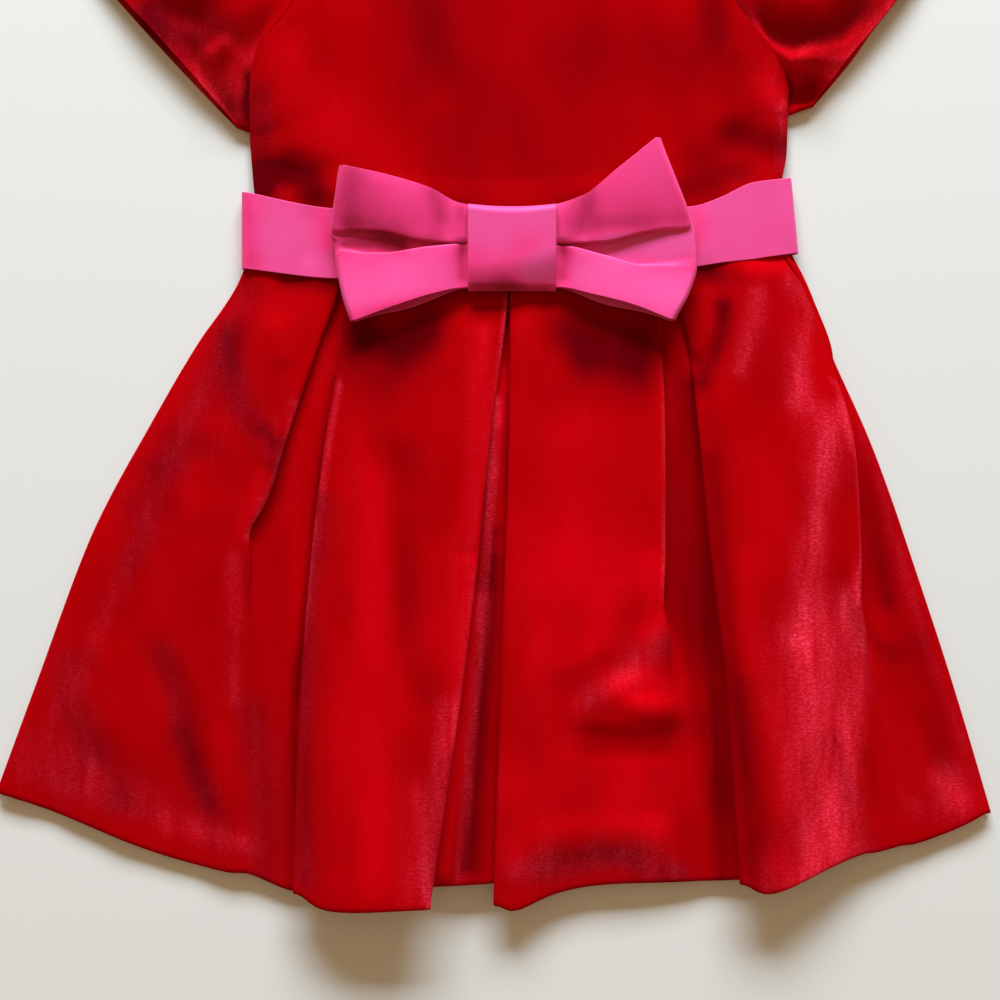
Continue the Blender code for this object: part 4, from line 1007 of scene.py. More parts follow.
def edge_y(side, row):
    """Where a row of the bodice meets its side. Row 0 is the waist, and the last one the shoulder's tip."""
    below = lerp(waist_y(EDGE_X[side][0]), UNDERARM_Y[side], row / ROWS_TO_UNDERARM)
    above = lerp(UNDERARM_Y[side], SHOULDER_TIP_Y, (row - ROWS_TO_UNDERARM) / ROWS_OF_ARMHOLE)
    return np.where(row <= ROWS_TO_UNDERARM, below, above)


def armhole_open(side, y):
    """0 at the underarm and at the tip of the shoulder, where front and back meet, and 1 between."""
    share = (y - UNDERARM_Y[side]) / (SHOULDER_TIP_Y - UNDERARM_Y[side])
    return np.sin(math.pi * np.clip(share, 0, 1)) ** ARMHOLE_SUDDEN


def bodice_columns():
    """The bodice's columns, left to right: shares of its width, and distances in from the side."""
    left, right = EDGE_X[-1][-1], EDGE_X[1][-1]
    neck = CENTRE_X - NECK_HALF * np.cos(math.pi * np.arange(NECK_STEPS + 1) / NECK_STEPS)
    shoulder = np.arange(SHOULDER_STEPS) / SHOULDER_STEPS
    along_top = np.concatenate([lerp(left, neck[0], shoulder), neck, lerp(right, neck[-1], shoulder)[::-1]])
    shares = (along_top - left) / (right - left)
    edge = np.array(SEAM_STEPS)
    shares = np.concatenate([np.zeros(len(edge)), shares, np.ones(len(edge))])
    insets = np.concatenate([edge, np.full(len(along_top), SEAM_ROUND), edge[::-1]])
    return shares, insets


def bodice_top(share, neck_drop):
    """The top edge at a share of the bodice's width, as (y, distance below the shoulder seam)."""
    left, right = EDGE_X[-1][-1], EDGE_X[1][-1]
    x = lerp(left, right, share)
    across = np.abs(x - CENTRE_X)
    down = neck_drop * np.clip(1 - (across / NECK_HALF) ** 2, 0, 1) ** NECK_CURVE
    tip = np.where(x < CENTRE_X, left, right)
    along_shoulder = np.clip((across - NECK_HALF) / (np.abs(tip - CENTRE_X) - NECK_HALF), 0, 1)
    return lerp(NECK_TOP_Y, SHOULDER_TIP_Y, along_shoulder) - down, down


def bodice_points(share, inset, row, neck_drop):
    """Points of the bodice as (x, y, opened): 0 where front and back are sewn together, 1 well inside."""
    ends_y = [edge_y(side, row) for side in (-1, 1)]
    ends_x = [edge_x(side, y) for side, y in zip((-1, 1), ends_y)]
    waist_ends = [EDGE_X[side][0] for side in (-1, 1)]
    risen = [(y - waist_y(x)) / (SHOULDER_TIP_Y - waist_y(x)) for x, y in zip(waist_ends, ends_y)]
    top, below_seam = bodice_top(share, neck_drop)
    y = lerp(waist_y(lerp(*waist_ends, share)), top, lerp(*risen, share))
    x = lerp(ends_x[0] + inset, ends_x[1] - inset, share)
    on_left = share < 0.5
    reach = lerp(SEAM_ROUND, ARMHOLE_FADE, smoothstep(ROWS_TO_UNDERARM, ROWS_TO_UNDERARM + 2, row))
    near_open = np.where(on_left, armhole_open(-1, ends_y[0]), armhole_open(1, ends_y[1]))
    away = np.where(on_left, x - ends_x[0], ends_x[1] - x)
    opened = np.maximum(near_open, smoothstep(0, reach, away))
    at_top = smoothstep(LAST_ROW - 0.25, LAST_ROW, row)
    return x, y, opened * lerp(1, smoothstep(0, neck_drop / 4, below_seam), at_top)


def bodice_rows():
    rows = np.linspace(0, LAST_ROW, BODICE_LINES)
    return np.sort(np.append(rows, BODICE_RIM_ROWS))[:, None]


def waist_puckers(x, y):
    """Small folds that run out from under the sash."""
    from_sash = np.abs(y - waist_y(x)) - PUCKERS_FROM
    return wander(x, y, PUCKERS) * (1 - smoothstep(0, PUCKERS_REACH, from_sash))


def bodice_crown(row, share, at_armhole):
    """How much higher the front is than at its side seams. at_armhole is 1 midway up an armhole."""
    above_waist = lerp(CROWN_AT_WAIST, 1, smoothstep(0, 4, row))
    below_neck = lerp(1, CROWN_AT_TOP, smoothstep(LAST_ROW / 2, LAST_ROW, row))
    across = np.sin(math.pi * share).clip(0) ** CROWN_SUDDEN
    full = np.maximum(across, CROWN_AT_ARMHOLE * at_armhole)
    return BODICE_CROWN * np.minimum(above_waist, below_neck) * full


def bodice_front_points(front_seam_z):
    row = bodice_rows()
    share, inset = (line[None, :] for line in bodice_columns())
    x, y, opened = bodice_points(share, inset, row, FRONT_NECK_DROP)
    at_armhole = np.where(share < 0.5, *(armhole_open(side, edge_y(side, row)) for side in (-1, 1)))
    z = lerp(front_seam_z, SIDE_Z + bodice_crown(row, share, at_armhole), opened) + sash_lift(x, y)
    loose = opened * smoothstep(0, CALM_SEAM, inset + CALM_SPREAD * share * (1 - share))
    waves = wander(x, y, BODICE_WAVES) + waist_puckers(x, y)
    z += (crease_shift(BODICE_CREASES, x, y) + waves) * loose
    return np.stack([x, y, z], axis=2)


def bodice_back_points(side, back_seam_z, back_z):
    """One half of the back, between its side seam and the centre line, where the halves part at the slit."""
    share, inset = bodice_columns()
    middle = len(share) // 2
    kept = slice(0, middle + 1) if side < 0 else slice(middle, None)
    row = bodice_rows()
    x, y, opened = bodice_points(share[None, kept], inset[None, kept], row, BACK_NECK_DROP)
    centre = middle if side < 0 else 0
    parted = SLIT_TOP_HALF * smoothstep(SLIT_BOTTOM_Y, NECK_TOP_Y, y[:, centre])
    x[:, centre] = CENTRE_X + side * (SLIT_SHUT + parted)
    z = lerp(back_seam_z, back_z, opened) + sash_lift(x, y) + button_lift(x, y)
    return np.stack([x, y, z], axis=2)


# ---- sleeves ----
def armhole(side):
    """The sleeve's edge at the armhole, just outside the bodice's, from underarm to shoulder tip."""
    y = edge_y(side, np.linspace(ROWS_TO_UNDERARM, LAST_ROW, ARMHOLE_STEPS))
    edge = np.stack([edge_x(side, y), y], axis=1)
    along = np.gradient(edge, axis=0)
    along /= np.linalg.norm(along, axis=1, keepdims=True)
    return edge + side * ARMHOLE_GAP * np.stack([along[:, 1], -along[:, 0]], axis=1)


def sleeve_layer(sleeve, inner, q, r, front, front_seam_z, back_z):
    """A layer of the sleeve: q runs from the underarm to the top fold, and r from the armhole to the hem."""
    shares = np.linspace(0, 1, len(inner))
    x = lerp(np.interp(q, shares, inner[:, 0]), lerp(sleeve.under_hem[0], sleeve.top_hem[0], q), r)
    y = lerp(np.interp(q, shares, inner[:, 1]), lerp(sleeve.under_hem[1], sleeve.top_hem[1], q), r)
    across = np.sin(math.pi * q).clip(0)
    bulge = sleeve.bulge * 4 * r * (1 - r) * q**SLEEVE_BULGE_LEAN
    hem_run = np.subtract(sleeve.top_hem, sleeve.under_hem)
    outward = sleeve.side * np.array([hem_run[1], -hem_run[0]]) / np.linalg.norm(hem_run)
    gape = 1 - smoothstep(sleeve.gapes_to - GAPE_FADE, sleeve.gapes_to + GAPE_REACH, q)
    longer = (SLEEVE_FRONT_LONGER if front else SLEEVE_BACK_LONGER) * r**2 * across**0.5 * gape
    x = x + sleeve.side * bulge * SLEEVE_BULGE_X + outward[0] * longer
    y = y + bulge * SLEEVE_BULGE_Y + outward[1] * longer
    from_fold = np.minimum(q, 1 - q) * np.linalg.norm(inner[-1] - inner[0])
    if not front:
        return np.stack([x, y, lerp(SLEEVE_MID_Z, back_z + 0 * x, seam_round(from_fold))], axis=2)
    puff = sleeve.puff * np.sin(math.pi * np.minimum(1, r * PUFF_NEAR)) ** PUFF_ROUND
    puff = puff * np.sin(math.pi * q**PUFF_LEAN).clip(0)
    row = ROWS_TO_UNDERARM + q * ROWS_OF_ARMHOLE
    at_armhole = armhole_open(sleeve.side, edge_y(sleeve.side, row))
    bodice_z = lerp(front_seam_z, SIDE_Z + bodice_crown(row, 0, at_armhole), at_armhole)
    own_z = lerp(SLEEVE_MID_Z, SIDE_Z + sleeve.hem_lift * r * across + puff, seam_round(from_fold))
    z = lerp(bodice_z, own_z, smoothstep(0, SLEEVE_LEVEL_TO, r))
    waves = wander(x, y, SLEEVE_WAVES) * smoothstep(0, CALM_ARMHOLE, r)
    moved = (crease_shift(SLEEVE_CREASES[sleeve.side], x, y) + waves) * smoothstep(0, CALM_FOLD, from_fold)
    lowest = back_z + SLEEVE_LEAST_ROOM * seam_round(from_fold)
    return np.stack([x, y, np.maximum(z + moved * smoothstep(0, CREASED_FROM, r), lowest)], axis=2)


def sleeve_points(sleeve, front_seam_z, back_z):
    """Closed rings from the armhole to the hem: up the front from the underarm, and back down behind."""
    inner = armhole(sleeve.side)
    length = np.linalg.norm(inner[-1] - inner[0])
    fold = np.array(SLEEVE_FOLD_STEPS) * SEAM_ROUND / length
    between = np.linspace(fold[-1], 1 - fold[-1], SLEEVE_COLUMNS)[1:-1]
    q = np.concatenate([fold, between, 1 - fold[::-1]])[None, :]
    r = np.sort(np.append(np.linspace(0, 1, SLEEVE_LINES), SLEEVE_RIM))[:, None]
    front = sleeve_layer(sleeve, inner, q, r, True, front_seam_z, back_z)
    back = sleeve_layer(sleeve, inner, q[:, ::-1], r, False, front_seam_z, back_z)
    return np.concatenate([front, back[:, 1:-1]], axis=1)


# ---- sash ----
def sash_points(satin_wall):
    """The sash: across the front, round the right, under the back and round the left, in lines along it."""
    low, high = SASH_LEFT + SASH_FLAT_FROM, SASH_RIGHT - SASH_FLAT_FROM
    front_x = np.linspace(low, high, SASH_FRONT_STEPS + 1)
    front = np.stack([front_x, curve_through(SASH_FRONT_X, SASH_FRONT_Z, front_x)], axis=1)
    turn = np.array(SASH_TURN)
    right = np.stack([SASH_RIGHT - turn[:, 0], turn[:, 1]], axis=1)
    back_x = np.linspace(high, low, SASH_BACK_STEPS + 1)
    back = np.stack([back_x, np.full(len(back_x), satin_wall / 2)], axis=1)
    left = np.stack([SASH_LEFT + turn[::-1, 0], turn[::-1, 1]], axis=1)
    loop = np.concatenate([front, right, back, left])
    across = with_edges(np.linspace(-0.5, 0.5, SASH_LINES), SASH_RIM)[:, None]
    x, z = loop[None, :, 0], loop[None, :, 1]
    slant = -SASH_SLANT * across * smoothstep(SASH_SLANT_FROM, SASH_RIGHT, x)
    y = curve_through(SASH_X, SASH_Y, x) + across * curve_through(SASH_X, SASH_WIDTH, x)
    on_front = np.arange(loop.shape[0])[None, :] <= SASH_FRONT_STEPS
    moved = crease_shift(SASH_CREASES, x + slant, y) + wander(x, y, SASH_WAVES)
    return np.stack([x + slant, y, z + on_front * moved], axis=2)


def with_edges(places, inset):
    """Adds a place just inside each end, which keeps an edge crisp."""
    return np.sort(np.append(places, [places[0] + inset, places[-1] - inset]))


# ---- bow ----
def bow_reach(row, stop):
    end = row.left_end if stop < 0 else row.right_end
    return lerp(KNOT_X, end - math.copysign(BOW_TURN, stop), abs(stop))


def bow_controls(stop):
    """The front ribbon's control points at one place along the bow, from its top edge to its bottom edge."""
    low = curve_through(BOW_STOPS, VALLEY.z, stop)
    controls = []
    for row in BOW_ROWS:
        x = bow_reach(row, stop)
        y = curve_through(BOW_STOPS, row.y, stop)
        z = curve_through(BOW_STOPS, row.z, stop)
        if row.kind == "ridge":
            controls.append((x, y, z))
            continue
        tuck = curve_through(BOW_STOPS, row.tuck, stop)
        turn = 1 if row.kind == "right_edge" else -1
        folded = fold_controls(-y, z, tuck, BOW_PLEAT_GAP, low, BOW_SOFT, turn)
        controls += [(x, -down, height) for down, height, _ in folded]
    return np.array(controls, float)


def bow_back_controls(stop):
    """The same for the layer that lies on the dress."""
    front = bow_controls(stop)
    downs = [-curve_through(BOW_STOPS, row.y, stop) for row in BOW_ROWS]
    reaches = [bow_reach(row, stop) for row in BOW_ROWS]
    share = np.linspace(0, 1, len(front))
    bulge = BOW_LENS * math.sin(math.pi * float(smoothstep(BOW_LENS_FROM, 1, abs(stop))))
    y = lerp(front[0, 1], front[-1, 1] - bulge, share)
    dip = BOW_BACK_DIP * (1 - smoothstep(0, BOW_BACK_DIP_TO, abs(stop)))
    z = curve_through((0, 0.5, 1), BOW_BACK_Z, share) - dip
    return np.stack([curve_through(downs, reaches, -y), y, z], axis=1)


def bow_points():
    """Lines along the loop of ribbon, each all the way round it: the front, left to right, then the back."""
    stops = np.linspace(-1, 1, BOW_SECTIONS)
    front_controls = np.stack([bow_controls(stop) for stop in stops])
    places = with_edges(spline_places(front_controls, BOW_STEP, BOW_MOST), BOW_RIM)
    front = along_spline(front_controls, places)
    front[..., 2] += crease_shift(BOW_CREASES, front[..., 0], front[..., 1])
    back_stops = stops[::-BOW_BACK_SKIP]
    back = along_spline(np.stack([bow_back_controls(stop) for stop in back_stops]), places)
    right_turn = bow_turn(front[-1], back[0], 1)
    left_turn = bow_turn(front[0], back[-1], -1)[::-1]
    rings = np.concatenate([front, right_turn, back, left_turn])
    return rings.transpose(1, 0, 2)


def bow_turn(front, back, side):
    """The sections round the end of a loop, from the front layer to the back layer."""
    angle = np.linspace(0, math.pi, BOW_TURN_STEPS + 2)[1:-1, None, None]
    turned = lerp(front[None], back[None], (1 - np.cos(angle)) / 2)
    turned[..., 0] += side * BOW_TURN * np.sin(angle[..., 0])
    return turned


def knot_points():
    """The band round the middle of the bow."""
    top, bottom = KNOT_Y + KNOT_HEIGHT / 2, KNOT_Y - KNOT_HEIGHT / 2
    low, high = bottom + KNOT_FLAT_FROM, top - KNOT_FLAT_FROM
    front_y = np.linspace(low, high, KNOT_FRONT_STEPS)
    turn = np.array(KNOT_TURN)[::-1]
    turn_z = lerp(KNOT_BACK_Z, KNOT_FRONT_Z, turn[:, 1])
    front = np.stack([front_y, np.full(len(front_y), KNOT_FRONT_Z)], axis=1)
    over_top = np.stack([top - turn[::-1, 0], turn_z[::-1]], axis=1)
    back_y = np.linspace(high, low, KNOT_BACK_STEPS)
    back = np.stack([back_y, np.full(len(back_y), KNOT_BACK_Z)], axis=1)
    under = np.stack([bottom + turn[:, 0], turn_z], axis=1)
    loop = np.concatenate([front, over_top, back, under])
    across = with_edges(np.linspace(-0.5, 0.5, KNOT_LINES), KNOT_RIM)[:, None]
    x = KNOT_X + KNOT_WIDTH * across + 0 * loop[None, :, 0]
    y = loop[None, :, 0] + 0 * x
    z = loop[None, :, 1] + 0 * x
    rise = np.clip((z - KNOT_BACK_Z) / (KNOT_FRONT_Z - KNOT_BACK_Z), 0, 1)
    bend_x, bend_y = np.transpose(KNOT_BEND)
    below = curve_through(bend_x, bend_y, x) - y
    z = z - rise * KNOT_BEND_DROP * smoothstep(0, KNOT_BEND_RUN, below)
    z = z + rise * (wander(x, y, KNOT_WAVES) + crease_shift(KNOT_CREASES, x, y))
    y = y - KNOT_TOP_DIP * rise * np.cos(math.pi * across) * smoothstep(KNOT_Y, top, y)
    return np.stack([x, y, z], axis=2)


# ---- materials ----
def new_material(name):
    """A material with its Principled shader, as (material, nodes, links, shader)."""
    made = bpy.data.materials.new(name)
    made.use_nodes = True
    tree = made.node_tree
    return made, tree.nodes, tree.links, tree.nodes["Principled BSDF"]


def new_node(nodes, kind, **inputs):
    node = nodes.new(kind)
    for name, value in inputs.items():
        node.inputs[name.replace("_", " ")].default_value = value
    return node


def linked(nodes, links, kind, *sources, **values):
    """A Math node of this kind, whose inputs are outputs of other nodes or numbers."""
    node = nodes.new("ShaderNodeMath")
    node.operation = kind
    node.use_clamp = values.get("clamp", False)
    for socket, source in zip(node.inputs, sources):
        if isinstance(source, (int, float)):
            socket.default_value = source
        else:
            links.new(source, socket)
    return node.outputs[0]


def ramp(nodes, links, place, stops):
    """A colour ramp through evenly spaced stops."""
    shade = nodes.new("ShaderNodeValToRGB")
    shade.color_ramp.elements[0].color = (*stops[0], 1)
    shade.color_ramp.elements[1].color = (*stops[2], 1)
    shade.color_ramp.elements.new(0.5).color = (*stops[1], 1)
    links.new(place, shade.inputs["Fac"])
    return shade.outputs["Color"]


def read_tone_and_painted_light(nodes, links):
    """The two parts of the nap and its painted shade and light, turned and bloom, as the cloth carries them.
    """
    tone_and_painted_light = nodes.new("ShaderNodeAttribute")
    tone_and_painted_light.attribute_name = "tone_and_painted_light"
    lie = nodes.new("ShaderNodeSeparateXYZ")
    links.new(tone_and_painted_light.outputs["Vector"], lie.inputs[0])
    return lie.outputs[0], lie.outputs[1]


def centred_noise(nodes, links, source, **inputs):
    """A noise that is as much above zero as below it."""
    noise = new_node(nodes, "ShaderNodeTexNoise", **inputs)
    links.new(source, noise.inputs["Vector"])
    return linked(nodes, links, "SUBTRACT", noise.outputs["Fac"], 0.5)


def velvet(name, colours):
    """Velvet whose pile is deeper or paler as its nap is turned and as painted shade and light lie on it,
    with paler tips, a painted sheen, in the blooming places.
    """
    made, nodes, links, shader = new_material(name)
    place = nodes.new("ShaderNodeTexCoord").outputs["Object"]
    turned, bloom = read_tone_and_painted_light(nodes, links)
    brush_turn = (0, 0, math.radians(PILE_BRUSH_ANGLE))
    brush = new_node(nodes, "ShaderNodeMapping", Rotation=brush_turn, Scale=(1, 0.16, 1))
    strand_turn = (0, 0, math.radians(PILE_STRAND_ANGLE))
    strands = new_node(nodes, "ShaderNodeMapping", Rotation=strand_turn, Scale=(0.4, 1, 1))
    for mapping in (brush, strands):
        links.new(place, mapping.inputs["Vector"])
    patchy = centred_noise(nodes, links, place, Scale=16.0, Detail=3.0, Roughness=0.5)
    marked = centred_noise(nodes, links, brush.outputs["Vector"], Scale=150.0, Detail=4.0, Roughness=0.65)
    specked = centred_noise(nodes, links, strands.outputs["Vector"], Scale=1300.0, Detail=2.0, Roughness=0.6)
    grainy = centred_noise(nodes, links, place, Scale=900.0, Detail=4.0, Roughness=0.7)
    uneven = linked(nodes, links, "MULTIPLY_ADD", marked, BRUSH_MARKS[0], BRUSH_MARKS[1])
    uneven = linked(nodes, links, "MAXIMUM", uneven, BRUSH_MARKS[2])
    streaked = linked(nodes, links, "MULTIPLY", bloom, uneven)
    patches = linked(nodes, links, "MULTIPLY", patchy, PATCHES)
    even = linked(nodes, links, "MULTIPLY_ADD", grainy, GRAIN, patches)
    lean = linked(nodes, links, "ADD", turned, even)
    brushed_tips = linked(nodes, links, "MULTIPLY", marked, bloom)
    lean = linked(nodes, links, "MULTIPLY_ADD", brushed_tips, BRUSH_LEAN, lean)
    lean = linked(nodes, links, "ADD", lean, 0.0, clamp=True)
    # painted shade and light: the ramp runs from deep to pale as the strokes turn the pile and paint shade
    # and light on it
    shade = ramp(nodes, links, lean, (colours.velvet_deep_painted_shade, colours.velvet_lit, colours.velvet_pale_painted_light))
    specks = linked(nodes, links, "MULTIPLY_ADD", specked, *SPECKS, clamp=True)
    speckled = linked(nodes, links, "MULTIPLY_ADD", specks, *SPECKLED_TIPS)
    # painted sheen: the tips add a paler colour where the strokes bloom, more where the ramp is lit
    painted_sheen = linked(nodes, links, "MULTIPLY", streaked, speckled)
    lit = linked(nodes, links, "MULTIPLY_ADD", lean, *LIT_TIPS)
    painted_sheen = linked(nodes, links, "MULTIPLY", painted_sheen, lit)
    tips = nodes.new("ShaderNodeVectorMath")
    tips.operation = "SCALE"
    tips.inputs[0].default_value = colours.velvet_tips_painted_sheen
    links.new(painted_sheen, tips.inputs["Scale"])
    both = nodes.new("ShaderNodeVectorMath")
    links.new(shade, both.inputs[0])
    links.new(tips.outputs["Vector"], both.inputs[1])
    links.new(both.outputs["Vector"], shader.inputs["Base Color"])
    bump = new_node(nodes, "ShaderNodeBump", Strength=0.3, Distance=0.0003)
    links.new(grainy, bump.inputs["Height"])
    links.new(bump.outputs["Normal"], shader.inputs["Normal"])
    shader.inputs["Roughness"].default_value = 0.9
    shader.inputs["Specular IOR Level"].default_value = 0.0
    shader.inputs["Sheen Weight"].default_value = 0.12
    shader.inputs["Sheen Roughness"].default_value = 0.3
    shader.inputs["Sheen Tint"].default_value = (*colours.velvet_sheen, 1)
    return made


def satin(name, colours):
    """Satin with a fine twill that runs across the ribbon at an angle, and with painted shade and light in
    its colour.
    """
    made, nodes, links, shader = new_material(name)
    place = nodes.new("ShaderNodeUVMap")
    place.uv_map = "cloth"
    tone_with_painted_light, _ = read_tone_and_painted_light(nodes, links)
    lie = new_node(nodes, "ShaderNodeMapping", Rotation=(0, 0, math.radians(TWILL_ANGLE)))
    links.new(place.outputs["UV"], lie.inputs["Vector"])
    twill = new_node(nodes, "ShaderNodeTexWave", Scale=0.42, Distortion=0.8, Detail=2.0, Detail_Scale=2.0)
    links.new(lie.outputs["Vector"], twill.inputs["Vector"])
    centred = linked(nodes, links, "SUBTRACT", twill.outputs["Fac"], 0.5)
    ribs = linked(nodes, links, "MULTIPLY", centred, TWILL_RIBS)
    cloudy = centred_noise(nodes, links, place.outputs["UV"], Scale=0.05, Detail=4.0)
    threads = centred_noise(nodes, links, place.outputs["UV"], Scale=1.4, Detail=3.0)
    thready = linked(nodes, links, "MULTIPLY", threads, SATIN_THREADS)
    uneven = linked(nodes, links, "MULTIPLY_ADD", cloudy, SATIN_CLOUDS, thready)
    tone_with_painted_light = linked(nodes, links, "ADD", tone_with_painted_light, linked(nodes, links, "ADD", ribs, uneven), clamp=True)
    # painted shade and light: the tone runs along the ramp from painted shade to painted light
    shade = ramp(nodes, links, tone_with_painted_light, (colours.satin_painted_shade, colours.satin, colours.satin_painted_light))
    links.new(shade, shader.inputs["Base Color"])
    bump = new_node(nodes, "ShaderNodeBump", Strength=0.12, Distance=0.0001)
    links.new(twill.outputs["Fac"], bump.inputs["Height"])
    links.new(bump.outputs["Normal"], shader.inputs["Normal"])
    shader.inputs["Roughness"].default_value = 0.5
    shader.inputs["Specular IOR Level"].default_value = 0.12
    shader.inputs["Sheen Weight"].default_value = 0.1
    return made


def shell(name, colours):
    """Shell with pale clouds in it."""
    made, nodes, links, shader = new_material(name)
    place = nodes.new("ShaderNodeTexCoord")
    clouds = new_node(nodes, "ShaderNodeTexNoise", Scale=300.0, Detail=3.0)
    links.new(place.outputs["Object"], clouds.inputs["Vector"])
    mix = nodes.new("ShaderNodeMix")
    mix.data_type = "RGBA"
    mix.inputs["A"].default_value = (*colours.button, 1)
    mix.inputs["B"].default_value = (*[min(1, 1.3 * value) for value in colours.button], 1)
    links.new(clouds.outputs["Fac"], mix.inputs["Factor"])
    links.new(mix.outputs["Result"], shader.inputs["Base Color"])
    shader.inputs["Roughness"].default_value = 0.35
    return made


def plain(name, colour, roughness):
    made, _, _, shader = new_material(name)
    shader.inputs["Base Color"].default_value = (*colour, 1)
    shader.inputs["Roughness"].default_value = roughness
    return made


def shared_material(name, make):
    """The material of this name, made on first use."""
    return bpy.data.materials.get(name) or make(name, bpy.context.scene.dress_colours)


# ---- making the pieces ----
Walls = namedtuple("Walls", "velvet satin hem front_seam_z back_seam_z back_z")


def walls():
    """The walls of the velvet and the satin, and the heights that follow from them, in millimetres."""
    sizes = bpy.context.scene.dress_sizes
    velvet_wall = sizes.velvet_wall / METRE
    half = velvet_wall / 2
    return Walls(
        velvet_wall, sizes.satin_wall / METRE, sizes.hem_turn / METRE,
        SEAM_Z + half + SEAM_TOUCH, SEAM_Z - half - SEAM_TOUCH, half,
    )


def new_piece(name, points, faces, finish):
    data = bpy.data.meshes.new(name)
    data.from_pydata((np.asarray(points).reshape(-1, 3) * METRE).tolist(), [], faces)
    data.materials.append(finish)
    data.shade_smooth()
    piece = bpy.data.objects.new(name, data)
    bpy.context.scene.collection.objects.link(piece)
    return piece


def grid_faces(lines, columns, ring):
    i, j = np.meshgrid(np.arange(lines - 1), np.arange(columns if ring else columns - 1), indexing="ij")
    k = (j + 1) % columns
    corners = (i * columns + j, i * columns + k, (i + 1) * columns + k, (i + 1) * columns + j)
    return np.stack([corner.ravel() for corner in corners], axis=1)


def lay_map(piece, grid, ring):
    """Gives a piece a map of its own, in millimetres along and across the cloth, for its weave."""
    closed = np.concatenate([grid, grid[:, :1]], axis=1) if ring else grid
    along = np.linalg.norm(np.diff(closed, axis=1), axis=2).mean(axis=0)
    across = np.linalg.norm(np.diff(closed, axis=0), axis=2).mean(axis=1)
    u = np.concatenate([[0], np.cumsum(along)])
    v = np.concatenate([[0], np.cumsum(across)])
    lines, columns = len(v) - 1, len(u) - 1
    i, j = np.meshgrid(np.arange(lines), np.arange(columns), indexing="ij")
    i, j = i.ravel(), j.ravel()
    corners_u = np.stack([u[j], u[j + 1], u[j + 1], u[j]], axis=1)
    corners_v = np.stack([v[i], v[i], v[i + 1], v[i + 1]], axis=1)
    layer = piece.data.uv_layers.new(name="cloth")
    layer.data.foreach_set("uv", np.stack([corners_u, corners_v], axis=2).ravel())


def cloth(node, slot, grid, tone_and_painted_light, ring=False):
    """A wall of velvet or satin round a grid of points. ring joins the grid's last column to its first."""
    lines, columns = grid.shape[:2]
    if slot == "velvet":
        wall, finish = walls().velvet, shared_material("red_velvet_pile_painted_light", velvet)
    else:
        wall, finish = walls().satin, shared_material("pink_satin_twill_painted_light", satin)
    piece = new_piece(f"{node}_{slot}", grid, grid_faces(lines, columns, ring).tolist(), finish)
    # the attribute carries the tone of the pile or ribbon with its painted shade and light
    lie = np.concatenate([tone_and_painted_light, np.zeros((*tone_and_painted_light.shape[:2], 1))], axis=2)
    piece.data.attributes.new("tone_and_painted_light", "FLOAT_VECTOR", "POINT").data.foreach_set("vector", lie.ravel())
    if slot == "satin":
        lay_map(piece, grid, ring)
    solidify = piece.modifiers.new("wall", "SOLIDIFY")
    solidify.thickness = wall * METRE
    solidify.offset = 0.0
    solidify.use_even_offset = True
    solidify.use_quality_normals = True
    piece.modifiers.new("crisp rim", "WEIGHTED_NORMAL").weight = 100
    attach(piece, "root")
    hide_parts(node)
    return piece


# ---- the add-on ----
class DressSizes(bpy.types.PropertyGroup):
    """Sizes that the pieces share."""

    velvet_wall: FloatProperty(
        name="Velvet", description="Thickness of the velvet with its pile", default=0.0008, unit="LENGTH"
    )
    satin_wall: FloatProperty(
        name="Satin", description="Thickness of the satin ribbon", default=0.0006, unit="LENGTH"
    )
    hem_turn: FloatProperty(
        name="Hem", description="How much of the skirt is turned under at its hem",
        default=0.020, unit="LENGTH",
    )


class DressColours(bpy.types.PropertyGroup):
    """Colours of the cloth, with the stops along which painted shade and light run."""

    # the deep, lit and pale colours are the stops of the velvet's ramp: the deep one also serves as painted
    # shade, the pale one as painted light, and the tips add a painted sheen
    velvet_deep_painted_shade: FloatVectorProperty(
        name="Velvet, deep", description="Colour of the pile where one looks down into it",
        default=(0.115, 0.0, 0.002), subtype="COLOR", size=3, min=0, max=1,
    )
    velvet_lit: FloatVectorProperty(
        name="Velvet, lit", description="Colour of the pile where it leans towards the light",
        default=(0.42, 0.0, 0.0012), subtype="COLOR", size=3, min=0, max=1,
    )
    velvet_pale_painted_light: FloatVectorProperty(
        name="Velvet, pale", description="Colour of the pile where it is brushed up and shows its sides",
        default=(0.69, 0.0, 0.004), subtype="COLOR", size=3, min=0, max=1,
    )
    velvet_tips_painted_sheen: FloatVectorProperty(
        name="Velvet, tips", description="What the tips of the pile add where they catch the light",
        default=(0.05, 0.0055, 0.0125), subtype="COLOR", size=3, min=0, max=1,
    )
    velvet_sheen: FloatVectorProperty(
        name="Velvet, sheen", description="Colour of the tips of the pile, seen along the cloth",
        default=(1.0, 0.02, 0.08), subtype="COLOR", size=3, min=0, max=1,
    )
    # the satin's ramp: painted shade, the ribbon's own colour, and painted light
    satin_painted_shade: FloatVectorProperty(
        name="Satin, deep", description="Colour of the ribbon where it turns away from the light",
        default=(0.36, 0.006, 0.05), subtype="COLOR", size=3, min=0, max=1,
    )
    satin: FloatVectorProperty(
        name="Satin", description="Colour of the ribbon", default=(0.88, 0.04, 0.225),
        subtype="COLOR", size=3, min=0, max=1,
    )
    satin_painted_light: FloatVectorProperty(
        name="Satin, pale", description="Colour of the ribbon where it catches the light",
        default=(0.82, 0.082, 0.325), subtype="COLOR", size=3, min=0, max=1,
    )
    button: FloatVectorProperty(
        name="Button", description="Colour of the button", default=(0.42, 0.008, 0.016),
        subtype="COLOR", size=3, min=0, max=1,
    )


